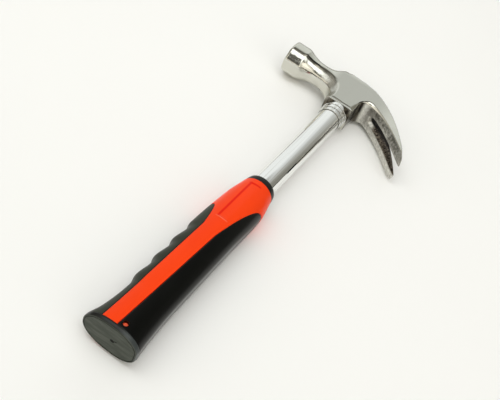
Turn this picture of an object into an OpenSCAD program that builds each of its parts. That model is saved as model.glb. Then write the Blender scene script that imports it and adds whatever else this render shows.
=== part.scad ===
// Claw hammer with a chromed tube shaft and a three-part moulded grip.
// Frame: X runs along the shaft from the butt face to the head, Y points to the
// striking face, Z is up with the hammer lying on its cheek. Millimetres.

/* [Shaft] */
// Outside diameter of the shaft tube
tube_d = 19; // [17:0.25:20.5]
// Wall of the shaft tube
tube_wall = 1.5; // [1:0.1:3]
// Butt end of the tube from the butt face
tube_start = 6; // [5:0.5:12]
// Length of the steel plug that swells the tube in the eye
plug_len = 34; // [20:1:40]
// How far the tube and its plug stop below the top of the head
top_inset = 0.8; // [0.4:0.1:3]

/* [Poll] */
// Butt face to the axis of the poll
head_at = 324.2; // [300:0.2:380]
// Poll across its flats
poll_af = 28.6; // [25:0.1:32]
// Width of the slanted facets of the poll
poll_facet = 10.9; // [8:0.1:12]
// Length of the straight part of the poll
poll_len = 15.6; // [10:0.2:20]
// Shaft axis to the striking face
poll_reach = 64.6; // [60:0.2:80]
// Bevel round the striking face
poll_bevel = 1.6; // [0.5:0.1:2.5]
// Neck across its flats
neck_af = 20.4; // [18:0.1:22]
// Length over which the poll narrows to the neck
neck_blend = 10; // [6:0.5:14]

/* [Cheeks and eye] */
// Thickness across the cheeks
cheek_t = 22; // [21.5:0.1:26]
// Poll axis to the front corner of the cheeks' top
cheek_rise = 13.2; // [11.5:0.1:16]
// Shaft axis to that corner
cheek_front = 15; // [13:0.2:20]
// Poll axis to the top of the head over the shaft
crown_rise = 12.3; // [10.5:0.1:16]
// Poll axis to the lower edge of the eye
eye_drop = 31.7; // [26:0.1:38]
// Shaft axis to the front wall of the eye
eye_front = 13; // [11.5:0.1:14]
// Shaft axis to the back wall of the eye
eye_back = 11.8; // [11.2:0.1:14]
// Corner facet of the eye block
eye_facet = 3.2; // [1.5:0.1:5]
// Fillet between the eye and the neck
neck_fillet = 17; // [10:0.5:18]
// Fillet between the eye and the claw
claw_fillet = 7; // [3:0.5:8]

/* [Claw] */
// Shaft axis to the claw tips
claw_reach = 68.4; // [60:0.2:85]
// Drop of the claw tips below the poll axis
claw_drop = 48.8; // [38:0.2:54]
// Slope of the tips from the shaft direction
claw_tip_angle = 29.6; // [26:0.2:40]
// Thickness of the claw at its root
claw_root_t = 23; // [18:0.1:24]
// Thickness of the claw at its tips
claw_tip_t = 1.4; // [1.2:0.1:3]
// Width across the two claw tips
claw_tip_w = 30; // [26:0.1:34]
// Edge facet along the claw
claw_facet = 0.8; // [0.4:0.1:1.2]
// Shaft axis to the root of the nail slot
slot_root = 26; // [24:0.5:36]
// Width of the nail slot at its root
slot_root_w = 4.8; // [4:0.1:6]
// Width of the nail slot between the tips
slot_tip_w = 9.6; // [7:0.1:12]

/* [Collar] */
// Length of the collar under the eye
collar_len = 11.8; // [8:0.2:14]
// Radius of the collar at its lower ring
collar_r_low = 10.3; // [10.3:0.1:10.7]
// Radius of the collar against the eye
collar_r_top = 11.1; // [10.8:0.1:11.6]
// Width of each turned groove
groove_w = 0.6; // [0.4:0.1:0.8]
// Depth of each turned groove
groove_d = 0.45; // [0.2:0.05:0.6]

/* [Grip] */
// Butt face to the lip of the grip
grip_len = 172.2; // [165:0.5:190]
// Height of the end cap
cap_t = 3; // [2.5:0.1:4.5]
// Rounding of the end cap's rim
cap_round = 1.8; // [0.8:0.1:2.2]
// Length of the cap's spigot in the tube
spigot_len = 16; // [8:1:30]
// Length of the black ring at the top of the grip
ring_len = 6.5; // [4:0.5:9]
// Radius of the ring at its lip
ring_r = 11.6; // [11.2:0.1:12.4]
// Radius of the grip where it meets the ring
shoulder_r = 12.9; // [12.5:0.1:13.6]
// Butt's reach on the finger side
butt_front = 22.6; // [20:0.1:25]
// Butt's reach on the palm side
butt_back = 19.2; // [18:0.1:22]
// Butt's half thickness
butt_half = 14; // [13.5:0.1:16]
// Reach of the butt's flare on the finger side
flare_front = 18.7; // [17.5:0.1:21]
// Reach of the butt's flare on the palm side
flare_back = 17.9; // [17:0.1:20]
// Waist's reach on the finger side, in the hollow below the ridges
waist_front = 16.3; // [16:0.1:18.5]
// Waist's reach on the palm side
waist_back = 16.6; // [15:0.1:18]
// Reach of the finger side at the first ridge
crest_front = 18.1; // [17:0.1:20]
// Waist's half thickness
waist_half = 13.4; // [13:0.1:15]
// Belly's reach on the finger side
belly_front = 17.8; // [17:0.1:20]
// Belly's reach on the palm side
belly_back = 16.2; // [15:0.1:18]
// Belly's half thickness
belly_half = 13.8; // [13.2:0.1:15]
// Reach of the upper grip on the finger side
upper_front = 15.7; // [14.5:0.1:17]
// Reach of the upper grip on the palm side
upper_back = 16.1; // [14.5:0.1:17]
// Upper grip's half thickness
upper_half = 13.4; // [13:0.1:14.5]

/* [Grip pads] */
// Thickness of the black pads
pad_t = 3; // [2:0.1:3.2]
// Seam between a pad and the core
seam = 0.15; // [0.1:0.05:0.3]
// Clearance under a pad
pad_gap = 0.08; // [0.05:0.01:0.2]
// Finger pad's end along the front of the grip
finger_end = 128; // [118:0.5:140]
// Finger pad's end beside the stripe
finger_edge_end = 105; // [96:0.5:114]
// Palm pad's end along the back of the grip
palm_end = 147; // [130:0.5:154]
// Palm pad's end beside the stripe
palm_edge_end = 101; // [94:0.5:112]
// Stripe's front edge at the butt
stripe_front_butt = 11.8; // [9:0.1:12.5]
// Stripe's front edge at the pad's end
stripe_front_top = 8.4; // [7:0.1:10]
// Stripe's back edge at the butt
stripe_back_butt = 1.2; // [-1:0.1:3]
// Stripe's back edge at the pad's end
stripe_back_top = -3.9; // [-5:0.1:-1]
// Number of finger ridges
ridge_count = 4; // [1:1:5]
// Spacing of the finger ridges
ridge_pitch = 19.9; // [16:0.1:21]
// Butt face to the crest of the first ridge
ridge_first = 45.5; // [41:0.1:52]
// Depth of the hollows between the ridges
ridge_depth = 1.5; // [0.5:0.1:2]
// Butt face to the gate hole in the palm pad
gate_at = 6.8; // [6:0.1:12]
// Gate hole's distance from the grip's middle
gate_off = 2.6; // [2.4:0.1:5]
// Diameter of the gate hole
gate_d = 3; // [2:0.1:3.4]

/* [Name panel] */
// Panel's lower edge from the butt face
panel_at = 116.4; // [112:0.5:122]
// Panel's length
panel_len = 45; // [30:0.5:46]
// Panel's width
panel_w = 9.1; // [6:0.1:11]
// Panel's middle from the grip's middle
panel_off = 1.4; // [-1:0.1:2]
// Depth of the panel
panel_d = 0.6; // [0.3:0.1:1]

/* [Fits] */
// Clearance of a pressed or moulded joint round the tube
press_gap = 0.05; // [0.02:0.01:0.15]
// Clearance of the cap's spigot in the tube
spigot_gap = 0.15; // [0.1:0.05:0.4]

/* [Hidden] */
$fn = 64;
eps = 0.05;

tube_r = tube_d / 2;
eye_bottom = head_at - eye_drop;
head_top = head_at + crown_rise;
shaft_top = head_top - top_inset;
ring_start = grip_len - ring_len;
collar_start = eye_bottom - collar_len;
oct_cut = 1 - tan(22.5);

steel = [0.78, 0.78, 0.75];
chrome = [0.86, 0.87, 0.87];
black = [0.06, 0.06, 0.06];
charcoal = [0.24, 0.25, 0.24];
red = [0.96, 0.22, 0.08];

// Blend from 0 to 1 with flat ends
function ease(t) =
    let (c = min(1, max(0, t)))
    c * c * (3 - 2 * c);

function mix(a, b, t) = a + (b - a) * t;

// Slope of a curve through [place, value] stations at station i
function grade(s, i) =
    let (a = s[max(0, i - 1)], b = s[min(len(s) - 1, i + 1)])
    (b[1] - a[1]) / (b[0] - a[0]);

// Smooth curve through [place, value] stations
function along(s, x, i = 0) =
    x <= s[0][0] ? s[0][1] :
    i >= len(s) - 1 ? s[len(s) - 1][1] :
    x > s[i + 1][0] ? along(s, x, i + 1) :
    let (
        h = s[i + 1][0] - s[i][0],
        t = (x - s[i][0]) / h,
        u = 1 - t
    )
    u * u * (1 + 2 * t) * s[i][1] + t * t * (1 + 2 * u) * s[i + 1][1]
    + t * u * h * (u * grade(s, i) - t * grade(s, i + 1));

// Triangles between two neighbouring closed rings of n points
function band(i, n) = [
    for (j = [0:n - 1])
        let (a = i * n + j, b = i * n + (j + 1) % n)
        each [[a, b, b + n], [a, b + n, a + n]]
];

// Caps of a ring that folds back on itself, point j facing point n - 1 - j
function fold_cap(o, n, flip) = [
    for (j = [0:n / 2 - 2])
        let (a = o + j, b = o + j + 1, c = o + n - 2 - j, d = o + n - 1 - j)
        each flip ? [[a, c, b], [a, d, c]] : [[a, b, c], [a, c, d]]
];

// Solid through closed rings of equal length
module loft(rings, fold = false) {
    n = len(rings[0]);
    m = len(rings);
    pts = [for (r = rings) each r];
    sides = [for (i = [0:m - 2]) each band(i, n)];
    first = fold ? fold_cap(0, n, true) : [[for (j = [n - 1:-1:0]) j]];
    last = fold ? fold_cap((m - 1) * n, n, false) : [[for (j = [0:n - 1]) (m - 1) * n + j]];
    polyhedron(pts, concat(sides, first, last), convexity = 10);
}

// Cylinder along X
module rod(r, from, to) {
    translate([from, 0, 0])
        rotate([0, 90, 0])
            cylinder(r = r, h = to - from);
}

// Turned piece along X from [radius, place] points
module turned(profile) {
    rotate([0, 90, 0])
        rotate([0, 0, 90])
            rotate_extrude()
                polygon(profile);
}

// Eight-sided section from a lower point to an upper point in the XY plane
function section(low, up, half, cut_low, cut_up, cut_z) =
    let (
        d = norm(up - low),
        e = (up - low) / d,
        a = low + e * min(cut_low, 0.48 * d),
        b = up - e * min(cut_up, 0.48 * d),
        h = half - min(cut_z, 0.9 * half)
    )
    [
        [low[0], low[1], -h], [low[0], low[1], h],
        [a[0], a[1], half], [b[0], b[1], half],
        [up[0], up[1], h], [up[0], up[1], -h],
        [b[0], b[1], -half], [a[0], a[1], -half]
    ];

// Poll and neck
poll_back = poll_reach - poll_len;
neck_end = poll_back - neck_blend;
function flats(y) = mix(neck_af, poll_af, ease((y - neck_end) / neck_blend)) / 2;

function facet_cut(y) =
    mix(oct_cut * neck_af / 2, poll_facet * cos(45), ease((y - neck_end) / neck_blend));
function poll_ring(y, less) =
    let (h = flats(y) - less, k = facet_cut(y) - 0.6 * less)
    section([head_at - h, y], [head_at + h, y], h, k, k, k);

// Neck opening out into the cheeks
function cheek_ring(y) =
    let (
        t = ease((neck_end - y) / (neck_end - cheek_front)),
        h = neck_af / 2,
        k = oct_cut * h,
        u = pow(t, 5)
    )
    section(
        [head_at - h, y], [head_at + mix(h, cheek_rise, u), y],
        mix(h, cheek_t / 2, t),
        mix(k, 2 * claw_facet, t), mix(k, claw_facet, u), mix(k, claw_facet, u)
    );

// Outer edge of the claw as a cubic curve from the cheek top to the tips
claw_a = [head_top, 0];
claw_d = [head_at - claw_drop, -claw_reach];
claw_dir = [cos(claw_tip_angle), sin(claw_tip_angle)];
claw_run = (head_top - claw_d[0]) / claw_dir[0];
claw_b = [head_top, 0.36 * (claw_d[1] + claw_run * claw_dir[1])];
claw_c = claw_d + 0.82 * claw_run * claw_dir;
function claw_edge(t) =
    pow(1 - t, 3) * claw_a + 3 * t * pow(1 - t, 2) * claw_b
    + 3 * t * t * (1 - t) * claw_c + pow(t, 3) * claw_d;
function claw_slope(t) =
    let (
        v = 3 * pow(1 - t, 2) * (claw_b - claw_a) + 6 * t * (1 - t) * (claw_c - claw_b)
            + 3 * t * t * (claw_d - claw_c)
    )
    v / norm(v);
function claw_under(t) =
    let (
        v = claw_slope(t),
        th = claw_tip_t + (claw_root_t - claw_tip_t) * pow(1 - t, 0.72)
    )
    claw_edge(t) + th * [v[1], -v[0]];
function claw_ring(t) =
    let (f = claw_facet * mix(1, 0.4, t))
    section(claw_under(t), claw_edge(t), mix(cheek_t, claw_tip_w, t) / 2, f, f, f);

head_rings = [
    poll_ring(poll_reach, poll_bevel),
    poll_ring(poll_reach - poll_bevel, 0),
    poll_ring(poll_back, 0),
    for (i = [1:4]) poll_ring(poll_back - neck_blend * i / 4, 0),
    for (i = [1:5]) cheek_ring(mix(neck_end, cheek_front, i / 5)),
    for (i = [0:16]) claw_ring(i / 16)
];

// Side outline of the eye block, with its fillets to the neck and the claw
neck_low = head_at - neck_af / 2;
claw_low = claw_under(0.35)[0];
eye_side = [
    [eye_bottom, -eye_back],
    [eye_bottom, eye_front],
    for (a = [0:10:90])
        [neck_low - neck_fillet + neck_fillet * sin(a), eye_front + neck_fillet * (1 - cos(a))],
    [head_at, eye_front + neck_fillet],
    [head_at, -eye_back - claw_fillet],
    for (a = [90:-15:0])
        [claw_low - claw_fillet + claw_fillet * sin(a), -eye_back - claw_fillet * (1 - cos(a))]
];

// Outline of the eye block seen along the shaft, with its corner facets
eye_half = cheek_t / 2;
eye_plan = [
    [eye_front + neck_fillet + 1, neck_af / 2 * tan(22.5)],
    [eye_front, eye_half - eye_facet],
    [eye_front - eye_facet, eye_half],
    [eye_facet - eye_back, eye_half],
    [-eye_back, eye_half - eye_facet],
    [-eye_back - claw_fillet - 1, eye_half - eye_facet + 1]
];

module eye_block() {
    intersection() {
        translate([0, 0, -cheek_t])
            linear_extrude(2 * cheek_t)
                polygon(eye_side);
        translate([eye_bottom - 1, 0, 0])
            rotate([90, 0, 90])
                linear_extrude(head_at - eye_bottom + 2)
                    polygon(concat(eye_plan, [for (i = [len(eye_plan) - 1:-1:0]) [eye_plan[i][0], -eye_plan[i][1]]]));
    }
}

// Nail slot, a wedge with a round root, cut along the shaft direction
module nail_slot() {
    r = slot_root_w / 2;
    y0 = -slot_root - r;
    y1 = -claw_reach - 6;
    translate([claw_d[0] - 10, 0, 0])
        rotate([90, 0, 90])
            linear_extrude(head_top - claw_d[0] + 20)
                polygon([[y0, r], [-claw_reach, slot_tip_w / 2], [y1, slot_tip_w / 2],
                    [y1, -slot_tip_w / 2], [-claw_reach, -slot_tip_w / 2], [y0, -r]]);
    translate([claw_d[0] - 10, y0, 0])
        rotate([0, 90, 0])
            cylinder(r = r, h = head_top - claw_d[0] + 20);
}

module head() {
    color(steel)
        difference() {
            union() {
                loft(head_rings);
                eye_block();
            }
            rod(tube_r + press_gap, eye_bottom - 5, head_top + 5);
            nail_slot();
        }
}

module shaft_tube() {
    color(chrome)
        difference() {
            rod(tube_r, tube_start, shaft_top);
            rod(tube_r - tube_wall, tube_start - 1, shaft_top + 1);
        }
}

module expander_plug() {
    r = tube_r - tube_wall - press_gap;
    color(steel)
        turned([
            [0, shaft_top - plug_len], [r - 1, shaft_top - plug_len],
            [r, shaft_top - plug_len + 3], [r, shaft_top], [0, shaft_top]
        ]);
}

// Collar of three rings that step out toward the eye, parted by turned grooves
module socket_collar() {
    in = tube_r + press_gap;
    w = (collar_len - 2 * groove_w) / 3;
    r = [for (i = [0:2]) mix(collar_r_low, collar_r_top, i / 2)];
    x = [for (i = [0:2]) collar_start + i * (w + groove_w)];
    color(chrome)
        turned([
            [in, collar_start],
            [r[0] - 0.3, collar_start],
            [r[0], collar_start + 0.3],
            [r[0], x[0] + w], [r[0] - groove_d, x[0] + w], [r[0] - groove_d, x[1]],
            [r[1], x[1]], [r[1], x[1] + w], [r[1] - groove_d, x[1] + w], [r[1] - groove_d, x[2]],
            [r[2], x[2]], [r[2], eye_bottom],
            [in, eye_bottom]
        ]);
}

// Grip stations: place along the shaft and half sizes
flare_at = 0.075 * grip_len;
waist_at = 0.215 * grip_len;
belly_at = 0.62 * grip_len;
upper_at = 0.86 * grip_len;
function front(x) = along([
    [0, butt_front], [flare_at, flare_front], [waist_at, waist_front], [ridge_first, crest_front],
    [belly_at, belly_front], [upper_at, upper_front], [ring_start, shoulder_r]], x);
function back(x) = along([
    [0, butt_back], [flare_at, flare_back], [waist_at, waist_back],
    [belly_at, belly_back], [upper_at, upper_back], [ring_start, shoulder_r]], x);
function half(x) = along([
    [0, butt_half], [waist_at, waist_half],
    [belly_at, belly_half], [upper_at, upper_half], [ring_start, shoulder_r]], x);

// Roundness of the grip section, nearing a circle at the ring
function power(x) = mix(2.3, 2, ease((x - belly_at) / (ring_start - belly_at)));

// Point of the grip at angle a from the finger side, sunk by d
function skin(x, a, d) =
    let (
        p = 2 / power(x),
        c = cos(a),
        s = sin(a),
        w = (c > 0 ? front(x) : back(x)) - d
    )
    [x, w * sign(c) * pow(abs(c), p), (half(x) - d) * sign(s) * pow(abs(s), p)];

// Angle of the skin at sideways place y
function lean(x, y) =
    let (w = y > 0 ? front(x) : back(x), q = pow(abs(y) / w, power(x) / 2))
    y > 0 ? acos(q) : 180 - acos(q);

function stripe_front(x) = mix(stripe_front_butt, stripe_front_top, min(1, x / finger_edge_end));
function stripe_back(x) = mix(stripe_back_butt, stripe_back_top, min(1, x / palm_edge_end));

// Pad ends over the share u of the way from the pad's middle to the stripe
function finger_stop(u) = mix(finger_end, finger_edge_end, pow(u, 6));
function palm_stop(u) = mix(palm_end, palm_edge_end, pow(u, 3.5));

// Depth of the finger hollows
function ridge(x) =
    let (
        last = ridge_first + (ridge_count - 1) * ridge_pitch,
        p = (x - ridge_first) / ridge_pitch,
        q = p - floor(p),
        w = q < 0.55 ? ease(1 - q / 0.55) : ease((q - 0.55) / 0.45)
    )
    x < ridge_first || x > last ? 0 : ridge_depth * (1 - w);

rows = 40;
top_rows = 9;
finger_cols = 7;
stripe_cols = 4;
palm_cols = 7;

// Finger pad ring, outer arc then inner arc back
function finger_ring(i) =
    let (
        us = [for (j = [-finger_cols:finger_cols]) j / finger_cols],
        xs = [for (u = us) mix(cap_t, finger_stop(abs(u)) - seam, i / rows)],
        as = [for (k = [0:2 * finger_cols]) us[k] * lean(xs[k], stripe_front(xs[k]) + seam)]
    )
    concat(
        [for (k = [0:2 * finger_cols])
            skin(xs[k], as[k], ridge(xs[k]) * (1 - pow(abs(us[k]), 4)))],
        [for (k = [2 * finger_cols:-1:0]) skin(xs[k], as[k], pad_t)]
    );

// Palm pad ring, outer arc then inner arc back
function palm_ring(i) =
    let (
        us = [for (j = [-palm_cols:palm_cols]) j / palm_cols],
        xs = [for (u = us) mix(cap_t, palm_stop(abs(u)) - seam, i / rows)],
        as = [for (k = [0:2 * palm_cols])
            180 + us[k] * (180 - lean(xs[k], stripe_back(xs[k]) - seam))]
    )
    concat(
        [for (k = [0:2 * palm_cols]) skin(xs[k], as[k], 0)],
        [for (k = [2 * palm_cols:-1:0]) skin(xs[k], as[k], pad_t)]
    );

// Core ring: half a turn of columns as [stop, share of finger, stripe or palm arc]
core_cols = [
    for (j = [0:finger_cols]) [finger_stop(j / finger_cols), 0, j / finger_cols],
    for (j = [0:stripe_cols]) [mix(finger_edge_end, palm_edge_end, j / stripe_cols), 1, j / stripe_cols],
    for (j = [palm_cols:-1:0]) [palm_stop(j / palm_cols), 2, j / palm_cols]
];
function core_angle(c, x) =
    let (f = lean(x, stripe_front(x)), b = lean(x, stripe_back(x)))
    c[1] == 0 ? c[2] * lean(x, stripe_front(x) + 0.3 * seam) :
    c[1] == 1 ? mix(f, b, c[2]) :
    180 - c[2] * (180 - lean(x, stripe_back(x) - 0.3 * seam));
function core_x(c, i) =
    i <= rows ? mix(cap_t, c[0], i / rows) :
    mix(c[0] + 0.3 * seam, ring_start, (i - rows - 1) / top_rows);
function core_ring(i) =
    let (
        half_turn = [
            for (c = core_cols)
                let (x = core_x(c, i))
                skin(x, core_angle(c, x), i <= rows && c[1] != 1 ? pad_t + pad_gap : 0)
        ],
        m = len(half_turn)
    )
    concat(
        half_turn,
        [for (k = [m - 2:-1:1]) [half_turn[k][0], half_turn[k][1], -half_turn[k][2]]]
    );

// Bare recessed panel on both sides of the core
module panel_cut() {
    far = panel_at + panel_len;
    z0 = half(panel_at) - panel_d;
    z1 = half(far) - panel_d;
    translate([panel_at, panel_off - panel_w / 2, z0])
        rotate([0, atan((z0 - z1) / panel_len), 0])
            cube([panel_len, panel_w, 6]);
}

module grip_core() {
    color(red)
        difference() {
            loft([for (i = [rows + 1 + top_rows:-1:0]) core_ring(i)]);
            rod(tube_r + press_gap, cap_t - 1, grip_len);
            panel_cut();
            mirror([0, 0, 1])
                panel_cut();
        }
}

module finger_pad() {
    color(black)
        loft([for (i = [rows:-1:0]) finger_ring(i)], fold = true);
}

module palm_pad() {
    color(black)
        difference() {
            loft([for (i = [rows:-1:0]) palm_ring(i)], fold = true);
            translate([gate_at, -gate_off, -2 * butt_half])
                cylinder(d = gate_d, h = 4 * butt_half);
        }
}

module nose_ring() {
    in = tube_r + press_gap;
    color(black)
        turned([
            [in, ring_start], [shoulder_r - 0.4, ring_start], [shoulder_r - 0.1, ring_start + 0.4],
            [mix(shoulder_r, ring_r, 0.45), ring_start + 0.5 * ring_len],
            [ring_r, grip_len - 0.8], [ring_r - 0.5, grip_len], [in, grip_len]
        ]);
}

// Cap ring at angle steps, drawn in by the rim's rounding at the face
cap_sides = 48;
function cap_ring(x, d) = [
    for (j = [0:cap_sides - 1])
        let (p = skin(x, 360 * j / cap_sides, d))
        [p[0], p[1], p[2]]
];

module end_cap() {
    color(charcoal) {
        loft(concat(
            [cap_ring(cap_t, 0)],
            [for (a = [90:-22.5:0]) cap_ring(cap_round * (1 - cos(a)), cap_round * (1 - sin(a)))]
        ));
        rod(tube_r - tube_wall - spigot_gap, cap_t - eps, cap_t + spigot_len);
    }
}

head();
shaft_tube();
expander_plug();
socket_collar();
nose_ring();
grip_core();
finger_pad();
palm_pad();
end_cap();
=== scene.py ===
"""Dress a claw hammer: a plated head, a chromed tube shaft and a three-part moulded grip.

The builders work in millimetres in the frame of the solids, with X along the shaft, Y to
the striking face and Z up. A mesh becomes metres when its piece is made.
"""

import logging
import math
from dataclasses import dataclass, field
from enum import Enum
from typing import Any, Callable, Sequence

import bpy
import numpy as np
from mathutils import Matrix, Vector


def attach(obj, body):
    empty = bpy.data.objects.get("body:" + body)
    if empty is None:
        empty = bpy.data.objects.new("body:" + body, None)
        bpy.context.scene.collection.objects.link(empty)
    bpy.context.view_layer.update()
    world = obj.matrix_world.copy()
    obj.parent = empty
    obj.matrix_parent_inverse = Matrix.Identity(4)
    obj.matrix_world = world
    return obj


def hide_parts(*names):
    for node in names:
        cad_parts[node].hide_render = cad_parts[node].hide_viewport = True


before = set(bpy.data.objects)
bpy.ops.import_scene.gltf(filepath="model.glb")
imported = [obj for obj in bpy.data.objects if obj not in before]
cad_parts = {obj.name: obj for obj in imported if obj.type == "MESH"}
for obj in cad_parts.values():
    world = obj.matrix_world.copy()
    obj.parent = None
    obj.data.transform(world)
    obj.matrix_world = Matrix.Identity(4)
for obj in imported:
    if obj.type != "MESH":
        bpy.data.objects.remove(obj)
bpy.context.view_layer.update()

Array = np.ndarray
Colour = tuple[float, float, float]
MM = 0.001
CHUNK = 4000
SHARP = math.radians(38.0)
LOG = logging.getLogger("hammer")


class Slot(Enum):
    """Material slots of the part."""

    HEAD = "head_plate"
    TUBE = "tube_chrome"
    PLUG = "plug_steel"
    COLLAR = "collar_chrome"
    RING = "ring_black"
    CORE = "core_red"
    PAD = "pad_black"
    CAP = "cap_grey"


class Side(Enum):
    """The two sides of the grip that carry a pad."""

    FINGER = 0
    PALM = 1


def ease(t: Array | float) -> Array:
    """Blend from 0 to 1 with flat ends."""
    c = np.clip(t, 0.0, 1.0)
    return c * c * (3 - 2 * c)


def mix(a: Any, b: Any, t: Any) -> Any:
    """Value a share t of the way from a to b."""
    return a + (b - a) * t


def ramp(v: Any, low: Any, high: Any) -> Any:
    """Eased share of the way of values from low to high."""
    return ease((v - low) / (high - low))


def soft_max(a: Array, b: Array, k: Array | float) -> Array:
    """Larger of two distances, with the crease between them rounded over k."""
    return np.maximum(a, b) + np.maximum(k - np.abs(a - b), 0) ** 2 / (4 * k)


def crease(a: Array, b: Array, k: float) -> Array:
    """How near two distances are to equal, from 0 to 1."""
    return np.maximum(k - np.abs(a - b), 0) / k


# Shader nodes


class Wire:
    """A shader socket that takes part in Python arithmetic."""

    def __init__(self, board: "Board", socket: bpy.types.NodeSocket) -> None:
        """Hold a socket and the board that it belongs to."""
        self.board = board
        self.socket = socket

    def __add__(self, other: "Wire | float") -> "Wire":
        """Sum with a wire or number."""
        return self.board.math("ADD", self, other)

    __radd__ = __add__

    def __sub__(self, other: "Wire | float") -> "Wire":
        """Difference from a wire or number."""
        return self.board.math("SUBTRACT", self, other)

    def __rsub__(self, other: float) -> "Wire":
        """Number less this wire."""
        return self.board.math("SUBTRACT", other, self)

    def __mul__(self, other: "Wire | float") -> "Wire":
        """Product with a wire or number."""
        return self.board.math("MULTIPLY", self, other)

    __rmul__ = __mul__

    def __neg__(self) -> "Wire":
        """This wire with its sign turned."""
        return self.board.math("MULTIPLY", self, -1.0)

    def __abs__(self) -> "Wire":
        """Size of this wire."""
        return self.board.math("ABSOLUTE", self)

    def step(self, low: "Wire | float", high: "Wire | float") -> "Wire":
        """Smooth step from 0 at low to 1 at high."""
        return self.board.add(
            "ShaderNodeMapRange",
            {"interpolation_type": "SMOOTHSTEP"},
            {"Value": self, "From Min": low, "From Max": high},
        )


class Board:
    """Adds nodes to one node tree."""

    def __init__(self, tree: bpy.types.NodeTree) -> None:
        """Hold an emptied node tree."""
        tree.nodes.clear()
        self.tree = tree

    def add(
        self,
        kind: str,
        settings: dict[str, Any] | None = None,
        links: dict[Any, Any] | None = None,
        out: int | str = 0,
    ) -> Wire:
        """Add a node.

        Args:
            kind: Node type.
            settings: Properties, set before the sockets.
            links: Values or wires for input sockets, by name or index.
            out: Output socket, by name or index.

        Returns:
            The wire of that output.
        """
        node = self.tree.nodes.new(kind)
        for key, value in (settings or {}).items():
            setattr(node, key, value)
        for key, value in (links or {}).items():
            if isinstance(value, Wire):
                self.tree.links.new(value.socket, node.inputs[key])
            else:
                node.inputs[key].default_value = value
        return Wire(self, node.outputs[out] if node.outputs else None)

    def math(self, operation: str, *values: "Wire | float") -> Wire:
        """Add a Math node on wires or numbers."""
        return self.add("ShaderNodeMath", {"operation": operation}, dict(enumerate(values)))

    def blend(self, share: "Wire | float", a: Any, b: Any) -> Wire:
        """Mix two colours.

        Args:
            share: Share of b.
            a: Colour or wire.
            b: Colour or wire.

        Returns:
            The mixed colour.
        """
        a, b = ((*c, 1.0) if isinstance(c, tuple) else c for c in (a, b))
        return self.add("ShaderNodeMix", {"data_type": "RGBA"}, {0: share, 6: a, 7: b}, 2)

    def place(self) -> Wire:
        """Point of the surface in the part's frame, in metres."""
        return self.add("ShaderNodeTexCoord", out="Object")

    def axis(self, vector: Wire, name: str) -> Wire:
        """One axis of a vector."""
        return self.add("ShaderNodeSeparateXYZ", links={0: vector}, out=name)

    def stretch(self, vector: Wire, scale: Colour) -> Wire:
        """Vector times a scale on each axis."""
        return self.add("ShaderNodeVectorMath", {"operation": "MULTIPLY"}, {0: vector, 1: scale})

    def noise(self, vector: Wire, scale: float, detail: float = 2.0, rough: float = 0.5) -> Wire:
        """Noise of a given scale per metre, about 0 to 1."""
        return self.add(
            "ShaderNodeTexNoise",
            links={"Vector": vector, "Scale": scale, "Detail": detail, "Roughness": rough},
        )

    def mark(self, name: str) -> Wire:
        """Share stored on the mesh under a name."""
        return self.add("ShaderNodeAttribute", {"attribute_name": name}, out="Fac")

    def bump(self, height: Wire, depth: float, strength: float = 1.0) -> Wire:
        """Normal from a height.

        Args:
            height: Height from 0 to 1.
            depth: Distance in metres that a height of 1 stands for.
            strength: Share of the effect.

        Returns:
            The normal.
        """
        return self.add(
            "ShaderNodeBump", links={"Height": height, "Distance": depth, "Strength": strength}
        )


@dataclass(frozen=True)
class Finish:
    """Common part of every finish."""

    def paint(self, board: Board) -> dict[str, Any]:
        """Sockets of the shader; each finish gives its own."""
        raise NotImplementedError

    def make(self, name: str) -> bpy.types.Material:
        """Make the finish's material.

        Args:
            name: Name of the material.

        Returns:
            A material with a node tree.
        """
        material = bpy.data.materials.new(name)
        material.use_nodes = True
        board = Board(material.node_tree)
        shader = board.add("ShaderNodeBsdfPrincipled", links=self.paint(board))
        board.add("ShaderNodeOutputMaterial", links={"Surface": shader})
        return material


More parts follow.
